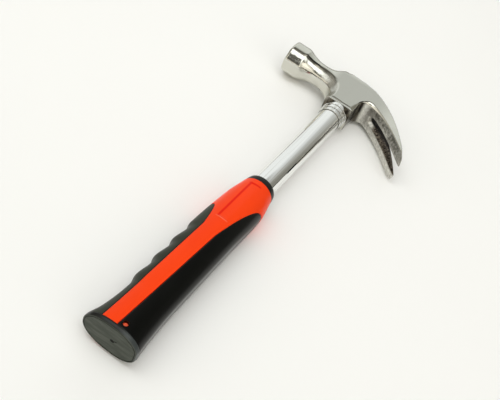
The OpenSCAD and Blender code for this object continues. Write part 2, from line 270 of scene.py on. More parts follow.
@dataclass(frozen=True)
class Plate(Finish):
    """Polished plate on forged steel, ground under the claw and raw in its slot."""

    bright: Colour = (0.67, 0.665, 0.60)
    dull: Colour = (0.60, 0.592, 0.53)
    ground: Colour = (0.74, 0.73, 0.68)
    ground_dark: Colour = (0.46, 0.452, 0.415)
    satin: Colour = (0.485, 0.482, 0.435)
    raw: Colour = (0.25, 0.21, 0.17)
    # This dark tone serves the raw steel's dark specks and also the painted shade deep in the slot
    # and at the eye's foot.
    dark_steel_and_shade: Colour = (0.022, 0.018, 0.016)
    # Painted shade: a darker strip on the near tine's under side only.
    patch: Colour = (0.15, 0.147, 0.125)
    # Forge specks, and also the paler streaks in the painted shade at the eye's foot.
    burnt_and_shade: Colour = (0.13, 0.115, 0.09)
    forged: Colour = (0.55, 0.54, 0.49)
    forged_dark: Colour = (0.30, 0.29, 0.26)
    edge: Colour = (0.93, 0.92, 0.88)
    cloud_scale: float = 60.0
    grain_scale: float = 1500.0
    blot_scale: float = 430.0
    streak_scale: float = 520.0
    speck_scale: float = 700.0
    wave_scale: float = 330.0
    relief: float = 0.00005

    def paint(self, board: Board) -> dict[str, Any]:
        """Plate tone with soft clouds, ground and raw places by their marks, bright edges, and
        painted shade in the slot, at the eye's foot and on the near tine.

        Args:
            board: Board of the material's nodes.

        Returns:
            Values or wires of the shader's sockets.
        """
        at = board.place()
        cloud = board.noise(at, self.cloud_scale, 3.0)
        grain = board.noise(at, self.grain_scale, 3.0, 0.6)
        blot = board.noise(at, self.blot_scale, 4.0, 0.7)
        streak = board.noise(board.stretch(at, (1.0, 1.0, 0.15)), self.streak_scale, 3.0)
        speck = board.noise(at, self.speck_scale, 4.0, 0.7)
        wave = board.noise(at, self.wave_scale, 2.0)
        names = ("forge", "ground", "raw", "sunk", "hollow", "foot", "edge")
        forge, ground, raw, sunk, hollow, foot, edge = (board.mark(name) for name in names)
        tone = board.blend(cloud.step(0.3, 0.7) * 0.6, self.bright, self.dull)
        under = board.blend(blot.step(0.32, 0.66), self.ground_dark, self.ground)
        # Painted shade: a blotched darker strip on the near tine's under side.
        under = board.blend(board.mark("patch") * blot.step(0.7, 0.3), under, self.patch)
        slot = board.blend(speck.step(0.38, 0.62), self.dark_steel_and_shade, self.raw)
        tone = board.blend(board.mark("satin"), tone, self.satin)
        tone = board.blend(edge * 0.2, tone, self.edge)
        tone = board.blend(speck.step(0.66, 0.72) * forge * 0.7, tone, self.burnt_and_shade)
        forged = board.blend(speck.step(0.35, 0.7), self.forged, self.forged_dark)
        tone = board.blend(hollow * 0.8, tone, forged)
        tone = board.blend(ground, tone, under)
        tone = board.blend(raw, tone, slot)
        # Streaked painted shade where the foot mark lies: on the eye's bottom face by the collar
        # and on the eye's back wall.
        scale = board.blend(streak.step(0.4, 0.6), self.dark_steel_and_shade, self.burnt_and_shade)
        tone = board.blend(foot, tone, scale)
        # Painted shade: near black deep in the nail slot and in the hole at its root.
        tone = board.blend(sunk * 0.95, tone, self.dark_steel_and_shade)
        rough = 0.07 + cloud * 0.05 + edge * 0.05
        rough = rough + ground * (0.32 + blot * 0.14) + foot * 0.15
        rough = rough + raw * (0.22 + speck * 0.2) + hollow * (0.12 + speck * 0.15)
        height = grain * (0.06 + ground * 0.5) + speck * (raw * 2.0 + hollow * 0.8)
        height = height + wave * (0.3 + forge * 4.0)
        return {
            "Base Color": tone,
            "Metallic": 1.0,
            "Roughness": rough,
            "Normal": board.bump(height, self.relief, 0.5),
        }


@dataclass(frozen=True)
class Chrome(Finish):
    """Mirror chrome, rougher and with painted shade in its turned grooves."""

    bright: Colour = (0.90, 0.905, 0.895)
    dull: Colour = (0.72, 0.715, 0.68)
    # Painted shade in the grooves.
    groove: Colour = (0.2, 0.2, 0.18)
    line_scale: Colour = (9.0, 800.0, 800.0)
    cloud_scale: float = 90.0

    def paint(self, board: Board) -> dict[str, Any]:
        """Chrome with faint drawn lines along the shaft and painted shade in the grooves.

        Args:
            board: Board of the material's nodes.

        Returns:
            Values or wires of the shader's sockets.
        """
        at = board.place()
        lines = board.noise(board.stretch(at, self.line_scale), 1.0, 3.0, 0.6)
        cloud = board.noise(at, self.cloud_scale, 2.0)
        # The groove mark paints shade into the collar's grooves.
        groove = board.mark("groove")
        tone = board.blend(lines.step(0.42, 0.7) * 0.8, self.bright, self.dull)
        return {
            "Base Color": board.blend(groove, tone, self.groove),
            "Metallic": 1.0,
            "Roughness": 0.035 + cloud * 0.03 + lines * 0.02 + groove * 0.2,
        }


@dataclass(frozen=True)
class Steel(Finish):
    """Plain turned steel of the plug."""

    bright: Colour = (0.56, 0.55, 0.52)
    dull: Colour = (0.42, 0.41, 0.38)
    ring_pitch: float = 9000.0
    stain_scale: float = 350.0
    relief: float = 0.00002

    def paint(self, board: Board) -> dict[str, Any]:
        """Steel with fine turning marks round the shaft.

        Args:
            board: Board of the material's nodes.

        Returns:
            Values or wires of the shader's sockets.
        """
        at = board.place()
        flat = board.stretch(at, (0.0, 1.0, 1.0))
        away = board.add("ShaderNodeVectorMath", {"operation": "LENGTH"}, {0: flat}, "Value")
        rings = board.math("SINE", away * self.ring_pitch) * 0.5 + 0.5
        stain = board.noise(at, self.stain_scale, 3.0)
        return {
            "Base Color": board.blend(stain, self.bright, self.dull),
            "Metallic": 1.0,
            "Roughness": 0.28 + stain * 0.2,
            "Normal": board.bump(rings, self.relief, 0.4),
        }


@dataclass(frozen=True)
class Moulding(Finish):
    """Moulded plastic or rubber with a fine skin."""

    tone: Colour
    shade: Colour
    rough: float
    skin: float
    grain: float
    seam: Colour
    gloss: float = 0.5
    sheen: float = 0.0
    # Painted highlight on the panel's lip and the gate pips.
    pale: Colour = (1.0, 0.24, 0.13)
    flow_scale: float = 55.0

    def paint(self, board: Board) -> dict[str, Any]:
        """Tone with soft flow clouds, a fine skin, a darker line in seams that on the core also
        paints shade on the panel's walls, and painted highlights where marked pale.

        Args:
            board: Board of the material's nodes.

        Returns:
            Values or wires of the shader's sockets.
        """
        at = board.place()
        flow = board.noise(board.stretch(at, (0.35, 1.0, 1.0)), self.flow_scale, 3.0)
        skin = board.noise(at, self.grain, 3.0, 0.6)
        tone = board.blend(flow.step(0.3, 0.75), self.tone, self.shade)
        tone = board.blend(board.mark("seam"), tone, self.seam)
        return {
            # The pale mark paints highlights on the panel's lip and the gate pips.
            "Base Color": board.blend(board.mark("pale"), tone, self.pale),
            "Coat Weight": board.mark("flank"),
            "Coat Roughness": 0.12,
            "Sheen Weight": self.sheen,
            "Sheen Roughness": 0.3,
            "Sheen Tint": (1.0, 0.96, 0.85, 1.0),
            "Roughness": self.rough + flow * 0.08 + skin * 0.08,
            "Specular IOR Level": self.gloss,
            "Normal": board.bump(skin, self.skin, 0.6),
        }


@dataclass(frozen=True)
class CapSkin(Finish):
    """Moulded cap: a streaked face painted paler than its plastic to stand for light, inside a dark
    satin rim.
    """

    # Painted light: the face is paler than the rim, though both are the cap's one dark plastic.
    face: Colour = (0.034, 0.041, 0.030)
    streak: Colour = (0.074, 0.083, 0.066)
    rim: Colour = (0.004, 0.0045, 0.0036)
    # Painted highlight: the rim's tone on its palm side.
    rim_painted_highlight: Colour = (0.045, 0.052, 0.052)
    scar: Colour = (0.001, 0.001, 0.001)
    gate_y: float = -0.0006
    gate_z: float = -0.0002
    groove: Colour = (0.004, 0.004, 0.004)
    streak_scale: float = 420.0
    skin_scale: float = 2600.0
    relief: float = 0.00004

    def paint(self, board: Board) -> dict[str, Any]:
        """Face and rim by their marks, flow streaks along the face, a gate scar and a painted
        highlight on the rim's palm side.

        Args:
            board: Board of the material's nodes.

        Returns:
            Values or wires of the shader's sockets.
        """
        at = board.place()
        streaks = board.noise(board.stretch(at, (1.0, 0.16, 1.0)), self.streak_scale, 3.0, 0.6)
        skin = board.noise(at, self.skin_scale, 2.0)
        face = board.mark("face")
        y = board.axis(at, "Y") - self.gate_y
        z = board.axis(at, "Z") - self.gate_z
        away = board.math("SQRT", y * y + z * z * 1.6)
        spot = (1.0 - away.step(0.0013, 0.0018)) * face
        narrow = 1.0 - abs(z + y * 0.5).step(0.0003, 0.0007)
        tail = narrow * (1.0 - abs(y + 0.0016).step(0.0012, 0.0018))
        tone = board.blend(streaks.step(0.35, 0.7), self.face, self.streak)
        # Painted highlight: the rim paler toward the palm side (-Y).
        rim = board.blend((-board.axis(at, "Y")).step(0.001, 0.009), self.rim, self.rim_painted_highlight)
        # The face's paler tone is painted light.
        tone = board.blend(face, rim, tone)
        scar = board.math("MAXIMUM", spot, tail * face * 0.8)
        tone = board.blend(scar, tone, self.scar)
        return {
            "Base Color": board.blend(board.mark("seam"), tone, self.groove),
            "Metallic": scar,
            "Roughness": 0.24 + face * 0.28 + streaks * 0.1,
            "Specular IOR Level": 0.35,
            "Normal": board.bump(skin + streaks - spot * 2.0, self.relief, 0.5),
        }


@dataclass(frozen=True)
class Paper(Finish):
    """Plain pale floor."""

    tone: Colour = (0.93, 0.93, 0.925)
    shade: Colour = (0.91, 0.91, 0.905)
    far: Colour = (0.88, 0.88, 0.85)
    centre_x: float = 0.17
    cloud_scale: float = 6.0
    near: float = 0.2
    away: float = 0.45

    def paint(self, board: Board) -> dict[str, Any]:
        """Even paper with a faint cloud, as pale far off as it is near.

        Args:
            board: Board of the material's nodes.

        Returns:
            Values or wires of the shader's sockets.
        """
        at = board.place()
        cloud = board.noise(at, self.cloud_scale, 2.0)
        x, y = board.axis(at, "X") - self.centre_x, board.axis(at, "Y")
        camera, gloss, through = (
            board.add("ShaderNodeLightPath", out=f"Is {kind} Ray")
            for kind in ("Camera", "Glossy", "Transmission")
        )
        seen = board.math("MINIMUM", camera + gloss + through, 1.0)
        away = (x * x + y * y).step(self.near, self.away) * seen
        tone = board.blend(cloud, self.tone, self.shade)
        return {
            "Base Color": board.blend(away, tone, (0.0, 0.0, 0.0)),
            "Emission Color": board.blend(away, (0.0, 0.0, 0.0), self.far),
            "Emission Strength": 1.0,
            "Roughness": 1.0,
            "Specular IOR Level": 0.0,
        }


@dataclass(frozen=True)
class Glow(Finish):
    """Light of a soft box that grows along its first axis and fades at its edges."""

    axes: str
    low: tuple[float, float]
    high: tuple[float, float]
    fade: tuple[float, float, float, float]
    level: float
    grade: float
    least: float
    peak: float
    lift: float = 0.0
    settle: float = 0.0
    warm: Colour = (1.0, 0.97, 0.82)
    cool: Colour = (0.975, 1.0, 0.975)

    def paint(self, board: Board) -> dict[str, Any]:
        """Level along the box, faded at its four edges and warmer where dim.

        Args:
            board: Board of the material's nodes.

        Returns:
            Values or wires of the shader's sockets.
        """
        at = board.place()
        u, v = (board.axis(at, name) for name in self.axes)
        level = board.math("MAXIMUM", self.least, self.level + u * self.grade)
        level = board.math("MINIMUM", 1.0, level)
        top = u.step(0.1, 0.35) * self.lift + self.high[1]
        foot = self.low[1] + self.fade[2] - u.step(0.5, 0.75) * self.settle
        level = level * u.step(self.low[0], self.low[0] + self.fade[0])
        level = level * (1.0 - u.step(self.high[0] - self.fade[1], self.high[0]))
        level = level * v.step(self.low[1], foot)
        level = level * (1.0 - v.step(self.high[1] - self.fade[3], top))
        tint = board.blend(level.step(0.1, 0.8), self.warm, self.cool)
        return {
            "Base Color": (0.0, 0.0, 0.0, 1.0),
            "Roughness": 1.0,
            "Specular IOR Level": 0.0,
            "Emission Color": board.blend(level, (0.0, 0.0, 0.0), tint),
            "Emission Strength": self.peak,
        }


# Meshes


@dataclass
class Mesh:
    """Points, faces and marks of a piece, in millimetres."""

    points: Array
    faces: list[Sequence[int]]
    marks: dict[str, Array] = field(default_factory=dict)
    normals: Array | None = None

    def mark(self, name: str) -> Array:
        """Values of a mark, or zeros where the mesh has none of that name."""
        return self.marks.get(name, np.zeros(len(self.points)))

    def join(self, other: "Mesh") -> "Mesh":
        """Add another mesh's points and faces.

        Args:
            other: Mesh with marks of its own, or none.

        Returns:
            This mesh and the other in one.
        """
        shift = len(self.points)
        names = set(self.marks) | set(other.marks)
        return Mesh(
            np.vstack([self.points, other.points]),
            list(self.faces) + [[i + shift for i in f] for f in other.faces],
            {n: np.concatenate([self.mark(n), other.mark(n)]) for n in names},
        )


def piece(
    name: str,
    mesh: Mesh,
    finish: bpy.types.Material,
    node: str,
) -> bpy.types.Object:
    """Make a piece of the part from a mesh.

    Args:
        name: Name of the piece.
        mesh: Its mesh in millimetres.
        finish: Its material.
        node: The solid that it stands for.

    Returns:
        The object, riding on the body.
    """
    data = bpy.data.meshes.new(name)
    data.from_pydata((mesh.points * MM).tolist(), [], mesh.faces)
    data.polygons.foreach_set("use_smooth", [True] * len(data.polygons))
    for key, values in mesh.marks.items():
        layer = data.attributes.new(key, "FLOAT", "POINT")
        layer.data.foreach_set("value", np.asarray(values, np.float32))
    if mesh.normals is not None:
        data.normals_split_custom_set_from_vertices(mesh.normals.tolist())
    else:
        data.set_sharp_from_angle(angle=SHARP)
    data.materials.append(finish)
    data.update()
    thing = bpy.data.objects.new(name, data)
    bpy.context.scene.collection.objects.link(thing)
    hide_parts(node)
    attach(thing, "root")
    LOG.info("%s: %d points, %d faces", name, len(data.vertices), len(data.polygons))
    return thing


def grid_faces(rows: int, cols: int, closed: bool) -> list[list[int]]:
    """Quads of a grid of points stored row by row.

    Args:
        rows: Number of rows.
        cols: Points in each row.
        closed: Whether a row closes on itself.

    Returns:
        The quads.
    """
    i, j = np.meshgrid(np.arange(rows - 1), np.arange(cols if closed else cols - 1), indexing="ij")
    k = (j + 1) % cols
    quads = np.stack([i * cols + j, i * cols + k, (i + 1) * cols + k, (i + 1) * cols + j], -1)
    return quads.reshape(-1, 4).tolist()


def hoop(x: float, r: float, sides: int) -> Array:
    """Circle of points about the shaft."""
    a = np.linspace(0, 2 * np.pi, sides, endpoint=False)
    return np.stack([np.full_like(a, x), r * np.cos(a), r * np.sin(a)], -1)


def looped(rings: Array) -> Mesh:
    """Skin through rings of points that close on the first ring again.

    Args:
        rings: Rings by points by three numbers.

    Returns:
        The mesh, with its faces outward.
    """
    rows, cols = rings.shape[:2]
    faces = np.array(grid_faces(rows + 1, cols, True)) % (rows * cols)
    return outward(Mesh(rings.reshape(-1, 3), faces.tolist()))


def loft(rings: Array) -> Mesh:
    """Closed skin through rings of points, with a fan on the first and the last.

    Args:
        rings: Rings by points by three numbers.

    Returns:
        The mesh, with its fan centres last.
    """
    rows, cols = rings.shape[:2]
    points = np.vstack([rings.reshape(-1, 3), rings[0].mean(0), rings[-1].mean(0)])
    faces = grid_faces(rows, cols, True)
    a, b, last = rows * cols, rows * cols + 1, (rows - 1) * cols
    for j in range(cols):
        k = (j + 1) % cols
        faces.append([a, k, j])
        faces.append([b, last + j, last + k])
    return Mesh(points, faces)


def outward(mesh: Mesh) -> Mesh:
    """Turn the faces of a closed mesh outward.

    Args:
        mesh: Closed mesh with faces of one sense.

    Returns:
        The same mesh with its faces outward.
    """
    total = 0.0
    for f in mesh.faces:
        p = mesh.points[list(f)]
        for k in range(1, len(f) - 1):
            total += float(np.dot(p[0], np.cross(p[k], p[k + 1])))
    if total < 0:
        mesh.faces = [list(f)[::-1] for f in mesh.faces]
    return mesh


def eased(points: Sequence[tuple[float, float, float]], steps: int = 5) -> Array:
    """Closed outline with rounded corners.

    Args:
        points: Corners as two coordinates and a rounding each.
        steps: Segments in each rounding.

    Returns:
        The outline's points.
    """
    corners = np.array(points, float)
    line: list[Array] = []
    for i, ease_by in enumerate(corners[:, 2]):
        here = corners[i, :2]
        back = corners[i - 1, :2] - here
        ahead = corners[(i + 1) % len(corners), :2] - here
        if ease_by <= 0:
            line.append(here)
            continue
        a = here + back / np.linalg.norm(back) * min(ease_by, 0.49 * np.linalg.norm(back))
        b = here + ahead / np.linalg.norm(ahead) * min(ease_by, 0.49 * np.linalg.norm(ahead))
        for t in np.linspace(0, 1, steps + 1):
            line.append((1 - t) ** 2 * a + 2 * t * (1 - t) * here + t * t * b)
    return np.array(line)


def turned(outline: Array, sides: int = 128) -> Mesh:
    """Ring turned about the shaft from a closed outline.

    Args:
        outline: Closed loop of places along the shaft and radii.
        sides: Segments round the shaft.

    Returns:
        The mesh.
    """
    return looped(np.array([hoop(x, r, sides) for x, r in outline]))


def sown(knots: Sequence[float], gap: float) -> Array:
    """Places through all knots with steps no longer than a gap.

    Args:
        knots: Places in order.
        gap: Longest step.

    Returns:
        The places.
    """
    runs = [
        np.linspace(a, b, max(1, math.ceil((b - a) / gap - 1e-9)), endpoint=False)
        for a, b in zip(knots[:-1], knots[1:])
    ]
    return np.concatenate([*runs, [knots[-1]]])


def nearest(points: Array, line: Array) -> Array:
    """Distance of points to the closest of a dense line's points.

    Args:
        points: Points by three numbers.
        line: Line points by three numbers.

    Returns:
        The distances.
    """
    found = np.empty(len(points))
    for i in range(0, len(points), CHUNK):
        part = points[i : i + CHUNK, None, :] - line[None]
        found[i : i + CHUNK] = np.sqrt((part**2).sum(-1).min(1))
    return found


def dense(line: Array) -> Array:
    """Points of a line with three more in each gap, in four rounds."""
    return np.vstack([mix(line[:-1], line[1:], t) for t in (0, 0.25, 0.5, 0.75)])


def roll(gap: Array, radius: float) -> Array:
    """Depth of a rolled edge at a distance from it."""
    g = np.clip(1 - gap / radius, 0, 1)
    return radius * (1 - np.sqrt(1 - g * g))


# Head


@dataclass
class Lattice:
    """Signed distance to a closed outline, kept on a square lattice."""

    outline: Array
    low: tuple[float, float]
    high: tuple[float, float]
    step: float = 0.5
    signed: bool = True

    def __post_init__(self) -> None:
        """Measure the distance at every lattice point."""
        nx, ny = (math.ceil((h - l) / self.step) + 1 for l, h in zip(self.low, self.high))
        gx, gy = np.meshgrid(np.arange(nx), np.arange(ny), indexing="ij")
        spots = np.stack([self.low[0] + gx * self.step, self.low[1] + gy * self.step], -1)
        spots = spots.reshape(-1, 2)
        a = self.outline
        b = np.roll(a, -1, 0) if self.signed else a[1:]
        a = a[: len(b)]
        run = b - a
        size = (run**2).sum(1)
        found = np.empty(len(spots))
        for i in range(0, len(spots), CHUNK):
            p = spots[i : i + CHUNK, None]
            t = np.clip(((p - a) * run).sum(-1) / size, 0, 1)
            gap = np.sqrt((((p - a) - t[..., None] * run) ** 2).sum(-1).min(1))
            if self.signed:
                above = (a[:, 1] > p[..., 1]) != (b[:, 1] > p[..., 1])
                with np.errstate(divide="ignore", invalid="ignore"):
                    cut = a[:, 0] + (p[..., 1] - a[:, 1]) * run[:, 0] / run[:, 1]
                inside = (above & (p[..., 0] < cut)).sum(1) % 2 == 1
                gap = np.where(inside, -gap, gap)
            found[i : i + CHUNK] = gap
        self.values = found.reshape(nx, ny)

    def at(self, x: Array, y: Array) -> Array:
        """Distance at any points, by smooth interpolation.

        Args:
            x: Places along the shaft.
            y: Places to the striking face.

        Returns:
            The distances.
        """
        nx, ny = self.values.shape
        u = np.clip((x - self.low[0]) / self.step, 1, nx - 2.001)
        v = np.clip((y - self.low[1]) / self.step, 1, ny - 2.001)
        i, j = u.astype(int), v.astype(int)
        wu, wv = self.weights(u - i), self.weights(v - j)
        total = np.zeros_like(u)
        for m in range(4):
            row = sum(wv[n] * self.values[i + m - 1, j + n - 1] for n in range(4))
            total += wu[m] * row
        return total

    @staticmethod
    def weights(t: Array) -> list[Array]:
        """Weights of four neighbours at a share t past the second."""
        return [
            0.5 * (-t + 2 * t**2 - t**3),
            0.5 * (2 - 5 * t**2 + 3 * t**3),
            0.5 * (t + 4 * t**2 - 3 * t**3),
            0.5 * (-(t**2) + t**3),
        ]


def wrap(values: Array, corner: Array, step: float) -> tuple[Array, Array]:
    """Quads round the negative side of a grid of values.

    Args:
        values: Values on a grid.
        corner: Place of the first value.
        step: Grid step.

    Returns:
        Points and quads.
    """
    inside = values < 0
    cells = tuple(n - 1 for n in values.shape)
    total, count = np.zeros(cells + (3,)), np.zeros(cells)
    for axis in range(3):
        others = [k for k in range(3) if k != axis]
        for a in (0, 1):
            for b in (0, 1):
                lo = [slice(None, -1)] * 3
                lo[others[0]] = slice(a, a - 1 if a == 0 else None)
                lo[others[1]] = slice(b, b - 1 if b == 0 else None)
                hi = list(lo)
                hi[axis] = slice(1, None)
                v0, v1 = values[tuple(lo)], values[tuple(hi)]
                cross = (v0 < 0) != (v1 < 0)
                t = v0[cross] / (v0[cross] - v1[cross])
                spot = np.zeros((len(t), 3))
                spot[:, axis], spot[:, others[0]], spot[:, others[1]] = t, a, b
                total[cross] += spot
                count[cross] += 1
    active = count > 0
    index = np.full(cells, -1)
    index[active] = np.arange(active.sum())
    points = (np.argwhere(active) + total[active] / count[active][:, None]) * step + corner
    quads = []
    for axis in range(3):
        turn = [axis, (axis + 1) % 3, (axis + 2) % 3]
        v, c = inside.transpose(turn), index.transpose(turn)
        first, second = v[:-1, 1:-1, 1:-1], v[1:, 1:-1, 1:-1]
        cross = first != second
        ring = [c[:, :-1, :-1], c[:, 1:, :-1], c[:, 1:, 1:], c[:, :-1, 1:]]
        quad = np.stack([r[cross] for r in ring], -1)
        flip = ~first[cross]
        quad[flip] = quad[flip][:, ::-1]
        quads.append(quad)
    return points, np.vstack(quads)


@dataclass
class Head:
    """Forged head: faceted poll and neck, flat cheeks over the eye, and a slotted claw."""

    head_at: float = 324.2
    poll_af: float = 28.6
    poll_facet: float = 12.0
    poll_len: float = 15.6
    poll_reach: float = 64.6
    poll_bevel: float = 1.6
    neck_af: float = 20.4
    neck_run: float = 14.0
    neck_end: float = 39.0
    cheek_t: float = 22.0
    cheek_rise: float = 13.2
    cheek_front: float = 15.0
    crown_rise: float = 12.3
    eye_drop: float = 31.7
    eye_front: float = 13.0
    eye_back: float = 11.8
    eye_facet: float = 3.4
    neck_fillet: float = 17.0
    claw_fillet: float = 7.0
    claw_reach: float = 68.4
    claw_drop: float = 48.8
    claw_tip_angle: float = 29.6
    claw_root_t: float = 23.0
    claw_tip_t: float = 1.4
    claw_tip_w: float = 30.0
    claw_facet: float = 0.8
    root_facet: float = 1.9
    tip_slant: float = 0.17
    slot_root: float = 26.0
    slot_root_w: float = 4.8
    slot_tip_w: float = 9.6
    slot_bevel: float = 2.3
    slot_bevel_deep: float = 3.0
    bore: float = 9.55
    edge_round: float = 0.75
    facet_crown: float = 36.0
    flat_crown: float = 18.0
    cheek_crown: float = 250.0
    under_crown: float = 0.033
    under_flat: float = 7.5
    neck_round: float = 1.4
    neck_lean: float = 7.0
    scoop_round: float = 3.6
    cheek_middle: float = 6.0
    facet_from: float = 294.0
    facet_least: float = 0.4
    face_crown: float = 0.002
    slot_lead: float = 0.8
    pole_front: float = 0.36
    pole_back: float = 0.82
    thin_by: float = 0.72
    step: float = 0.62
    outline_low: tuple[float, float] = (268.0, -80.0)
    outline_high: tuple[float, float] = (346.0, 78.0)
    skin_low: tuple[float, float, float] = (272.0, -75.0, -16.7)
    skin_high: tuple[float, float, float] = (341.0, 68.0, 16.7)

    def __post_init__(self) -> None:
        """Work out the outline and its distance lattices."""
        self.poll_back = self.poll_reach - self.poll_len
        self.eye_bottom = self.head_at - self.eye_drop
        self.head_top = self.head_at + self.crown_rise
        angle = math.radians(self.claw_tip_angle)
        self.tip_dir = np.array([math.cos(angle), math.sin(angle)])
        self.tip = np.array([self.head_at - self.claw_drop, -self.claw_reach])
        run = (self.head_top - self.tip[0]) / self.tip_dir[0]
        self.arm = np.array([
            [self.head_top, 0.0],
            [self.head_top, self.pole_front * (self.tip[1] + run * self.tip_dir[1])],
            self.tip + self.pole_back * run * self.tip_dir,
            self.tip,
        ])
        outline, under = self.outline()
        self.gap = Lattice(outline, self.outline_low, self.outline_high)
        self.under = Lattice(under, self.outline_low, self.outline_high, signed=False)
        t = np.linspace(0, 1, 200)
        self.claw_y = -self.claw_edge(t)[0][:, 1]
        self.claw_t = t

    def flats(self, y: Array) -> Array:
        """Half width across the flats of the poll and neck."""
        t = np.clip((self.poll_back - y) / self.neck_run, 0, 1)
        return mix(self.neck_af, self.poll_af, (1 - t) ** 2) / 2

    def facet(self, y: Array) -> Array:
        """How far the slanted facets cut the corners of the poll and neck.

        Args:
            y: Places to the striking face.

        Returns:
            The cuts.
        """
        t = np.clip((self.poll_back - y) / self.neck_run, 0, 1)
        narrow = (1 - math.tan(math.pi / 8)) * self.neck_af / 2
        return mix(narrow, self.poll_facet * math.sqrt(0.5), (1 - t) ** 2)

    def opening(self, y: Array) -> Array:
        """Share of the way from the neck to the cheeks."""
        return ramp(y, self.neck_end, self.cheek_front)

    def neck(self, y: Array) -> Array:
        """Share of the neck's own form, from the poll to the cheeks."""
        return ramp(y, self.poll_back, self.poll_back - 4) * (1 - self.opening(y))

    def claw_edge(self, t: Array) -> tuple[Array, Array]:
        """Outer edge of the claw and its direction.

        Args:
            t: Shares of the curve from the crown to the tips.

        Returns:
            Points and unit directions.
        """
        t = np.asarray(t, float)[:, None]
        a, b, c, d = self.arm
        s = 1 - t
        spot = s**3 * a + 3 * t * s**2 * b + 3 * t**2 * s * c + t**3 * d
        v = 3 * s**2 * (b - a) + 6 * t * s * (c - b) + 3 * t**2 * (d - c)
        return spot, v / np.linalg.norm(v, axis=1, keepdims=True)

    def outline(self) -> tuple[Array, Array]:
        """Side outline of the head, and the claw's under edge alone.

        Returns:
            A closed outline with softened corners and an open line.
        """
        t = np.linspace(0, 1, 160)
        outer, v = self.claw_edge(t)
        thick = mix(self.claw_tip_t, self.claw_root_t, (1 - t) ** self.thin_by)[:, None]
        inner = outer + thick * np.stack([v[:, 1], -v[:, 0]], -1)
        beyond = -4.0 * self.tip_dir
        outer = np.vstack([outer, outer[-1] + beyond])
        inner = np.vstack([inner, inner[-1] + beyond])
        slope = np.gradient(inner, axis=0)
        slope /= np.linalg.norm(slope, axis=1, keepdims=True)
        away = np.stack([slope[:, 1], -slope[:, 0]], -1)
        hub = inner + self.claw_fillet * away
        wall = -self.eye_back - self.claw_fillet
        k = int(np.argmax(hub[:, 1] < wall))
        centre = hub[k]
        start = math.atan2(*(inner[k] - centre)[::-1])
        turn = np.linspace(start, math.pi / 2, 24)
        bend = centre + self.claw_fillet * np.stack([np.cos(turn), np.sin(turn)], -1)
        y_top = np.linspace(self.outline_high[1], self.cheek_front, 120)
        rise = (self.cheek_rise - self.neck_af / 2) * self.opening(y_top) ** 5
        top = np.stack([self.head_at + self.flats(y_top) + rise, y_top], -1)
        neck_low = self.head_at - self.neck_af / 2
        a = np.linspace(0, math.pi / 2, 40)
        r = self.neck_fillet
        arc = np.stack([neck_low - r + r * np.sin(a), self.eye_front + r * (1 - np.cos(a))], -1)
        y_low = np.linspace(arc[-1, 1] + 0.5, self.outline_high[1], 100)
        low = np.stack([self.head_at - self.flats(y_low), y_low], -1)
        eye = np.array([[self.eye_bottom, -self.eye_back], [self.eye_bottom, self.eye_front]])
        line = np.vstack([top, outer, inner[:k:-1], bend, eye, arc, low])
        return self.soften(line), np.vstack([bend[::-1], inner[k:]])

    @staticmethod
    def soften(line: Array, gap: float = 0.35, passes: int = 5) -> Array:
        """Space a closed line evenly and round its corners.

        Args:
            line: Closed line.
            gap: Spacing of its points.
            passes: Number of smoothing passes.

        Returns:
            The new line.
        """
        ring = np.vstack([line, line[:1]])
        far = np.concatenate([[0], np.cumsum(np.linalg.norm(np.diff(ring, axis=0), axis=1))])
        places = np.linspace(0, far[-1], int(far[-1] / gap), endpoint=False)
        line = np.stack([np.interp(places, far, ring[:, k]) for k in (0, 1)], -1)
        for _ in range(passes):
            line = (np.roll(line, 1, 0) + 2 * line + np.roll(line, -1, 0)) / 4
        return line

    def share(self, y: Array) -> Array:
        """Share of the way along the claw."""
        return np.interp(-y, self.claw_y, self.claw_t)

    def half(self, y: Array) -> Array:
        """Half thickness of the head."""
        neck = mix(self.flats(y), self.cheek_t / 2, self.opening(y))
        return np.where(y > 0, neck, mix(self.cheek_t, self.claw_tip_w, self.share(y)) / 2)

    def corner(self, x: Array, y: Array) -> Array:
        """Size of the slanted facet between the sides and the cheeks.

        Args:
            x: Places along the shaft.
            y: Places to the striking face.

        Returns:
            The facet's cut.
        """
        cut = self.facet(y)
        behind = -y - self.eye_back
        rise = ramp(x - self.eye_bottom, 0.3, 3.3)
        lower = mix(self.eye_facet, cut, ramp(x - self.facet_from, 0, 20))
        lower = mix(self.facet_least, lower, rise)
        upper = mix(cut, self.claw_facet, self.opening(y) ** 5)
        front = mix(lower, upper, ramp(x - self.head_at, -6, 6))
        back = mix(self.facet_least, self.eye_facet, rise)
        back = mix(back, self.claw_facet, ramp(x - self.facet_from, 0, 16))
        claw = self.claw_facet * mix(1.6, 0.4, self.share(y))
        root = ramp(self.under.at(x, y), 8, 4) * ramp(behind, 25, 5)
        claw = mix(claw, self.root_facet, root)
        rear = mix(back, claw, ramp(behind, 2, 6))
        return np.where(y > 0, front, rear)

    def slot(self, p: Array) -> Array:
        """Distance to the nail slot, negative inside it.

        Args:
            p: Points by three numbers.

        Returns:
            The distances.
        """
        r = self.slot_root_w / 2
        y0 = -self.slot_root - r
        z = np.abs(p[:, 2])
        far, half = self.slot_half(p[:, 1])
        wide = np.where(p[:, 1] < y0, z - half, np.hypot(p[:, 1] - y0, z) - r)
        deep = self.under.at(p[:, 0], p[:, 1])
        flare = self.slot_bevel * np.clip(1 - far, 0, 1) ** 0.5
        return (wide - flare * np.clip(1 - deep / self.slot_bevel_deep, 0, 1)) * self.slot_lead

    def fall(self, x: Array, y: Array, z: Array) -> Array:
        """How far the claw's under side falls away toward its edges.

        Args:
            x: Places along the shaft.
            y: Places to the striking face.
            z: Places from the middle.

        Returns:
            The falls.
        """
        near = ramp(self.under.at(x, y), 5, 0) * ramp(-y - self.eye_back, 4, 10)
        return near * self.under_crown * np.maximum(np.abs(z) - self.under_flat, 0) ** 2

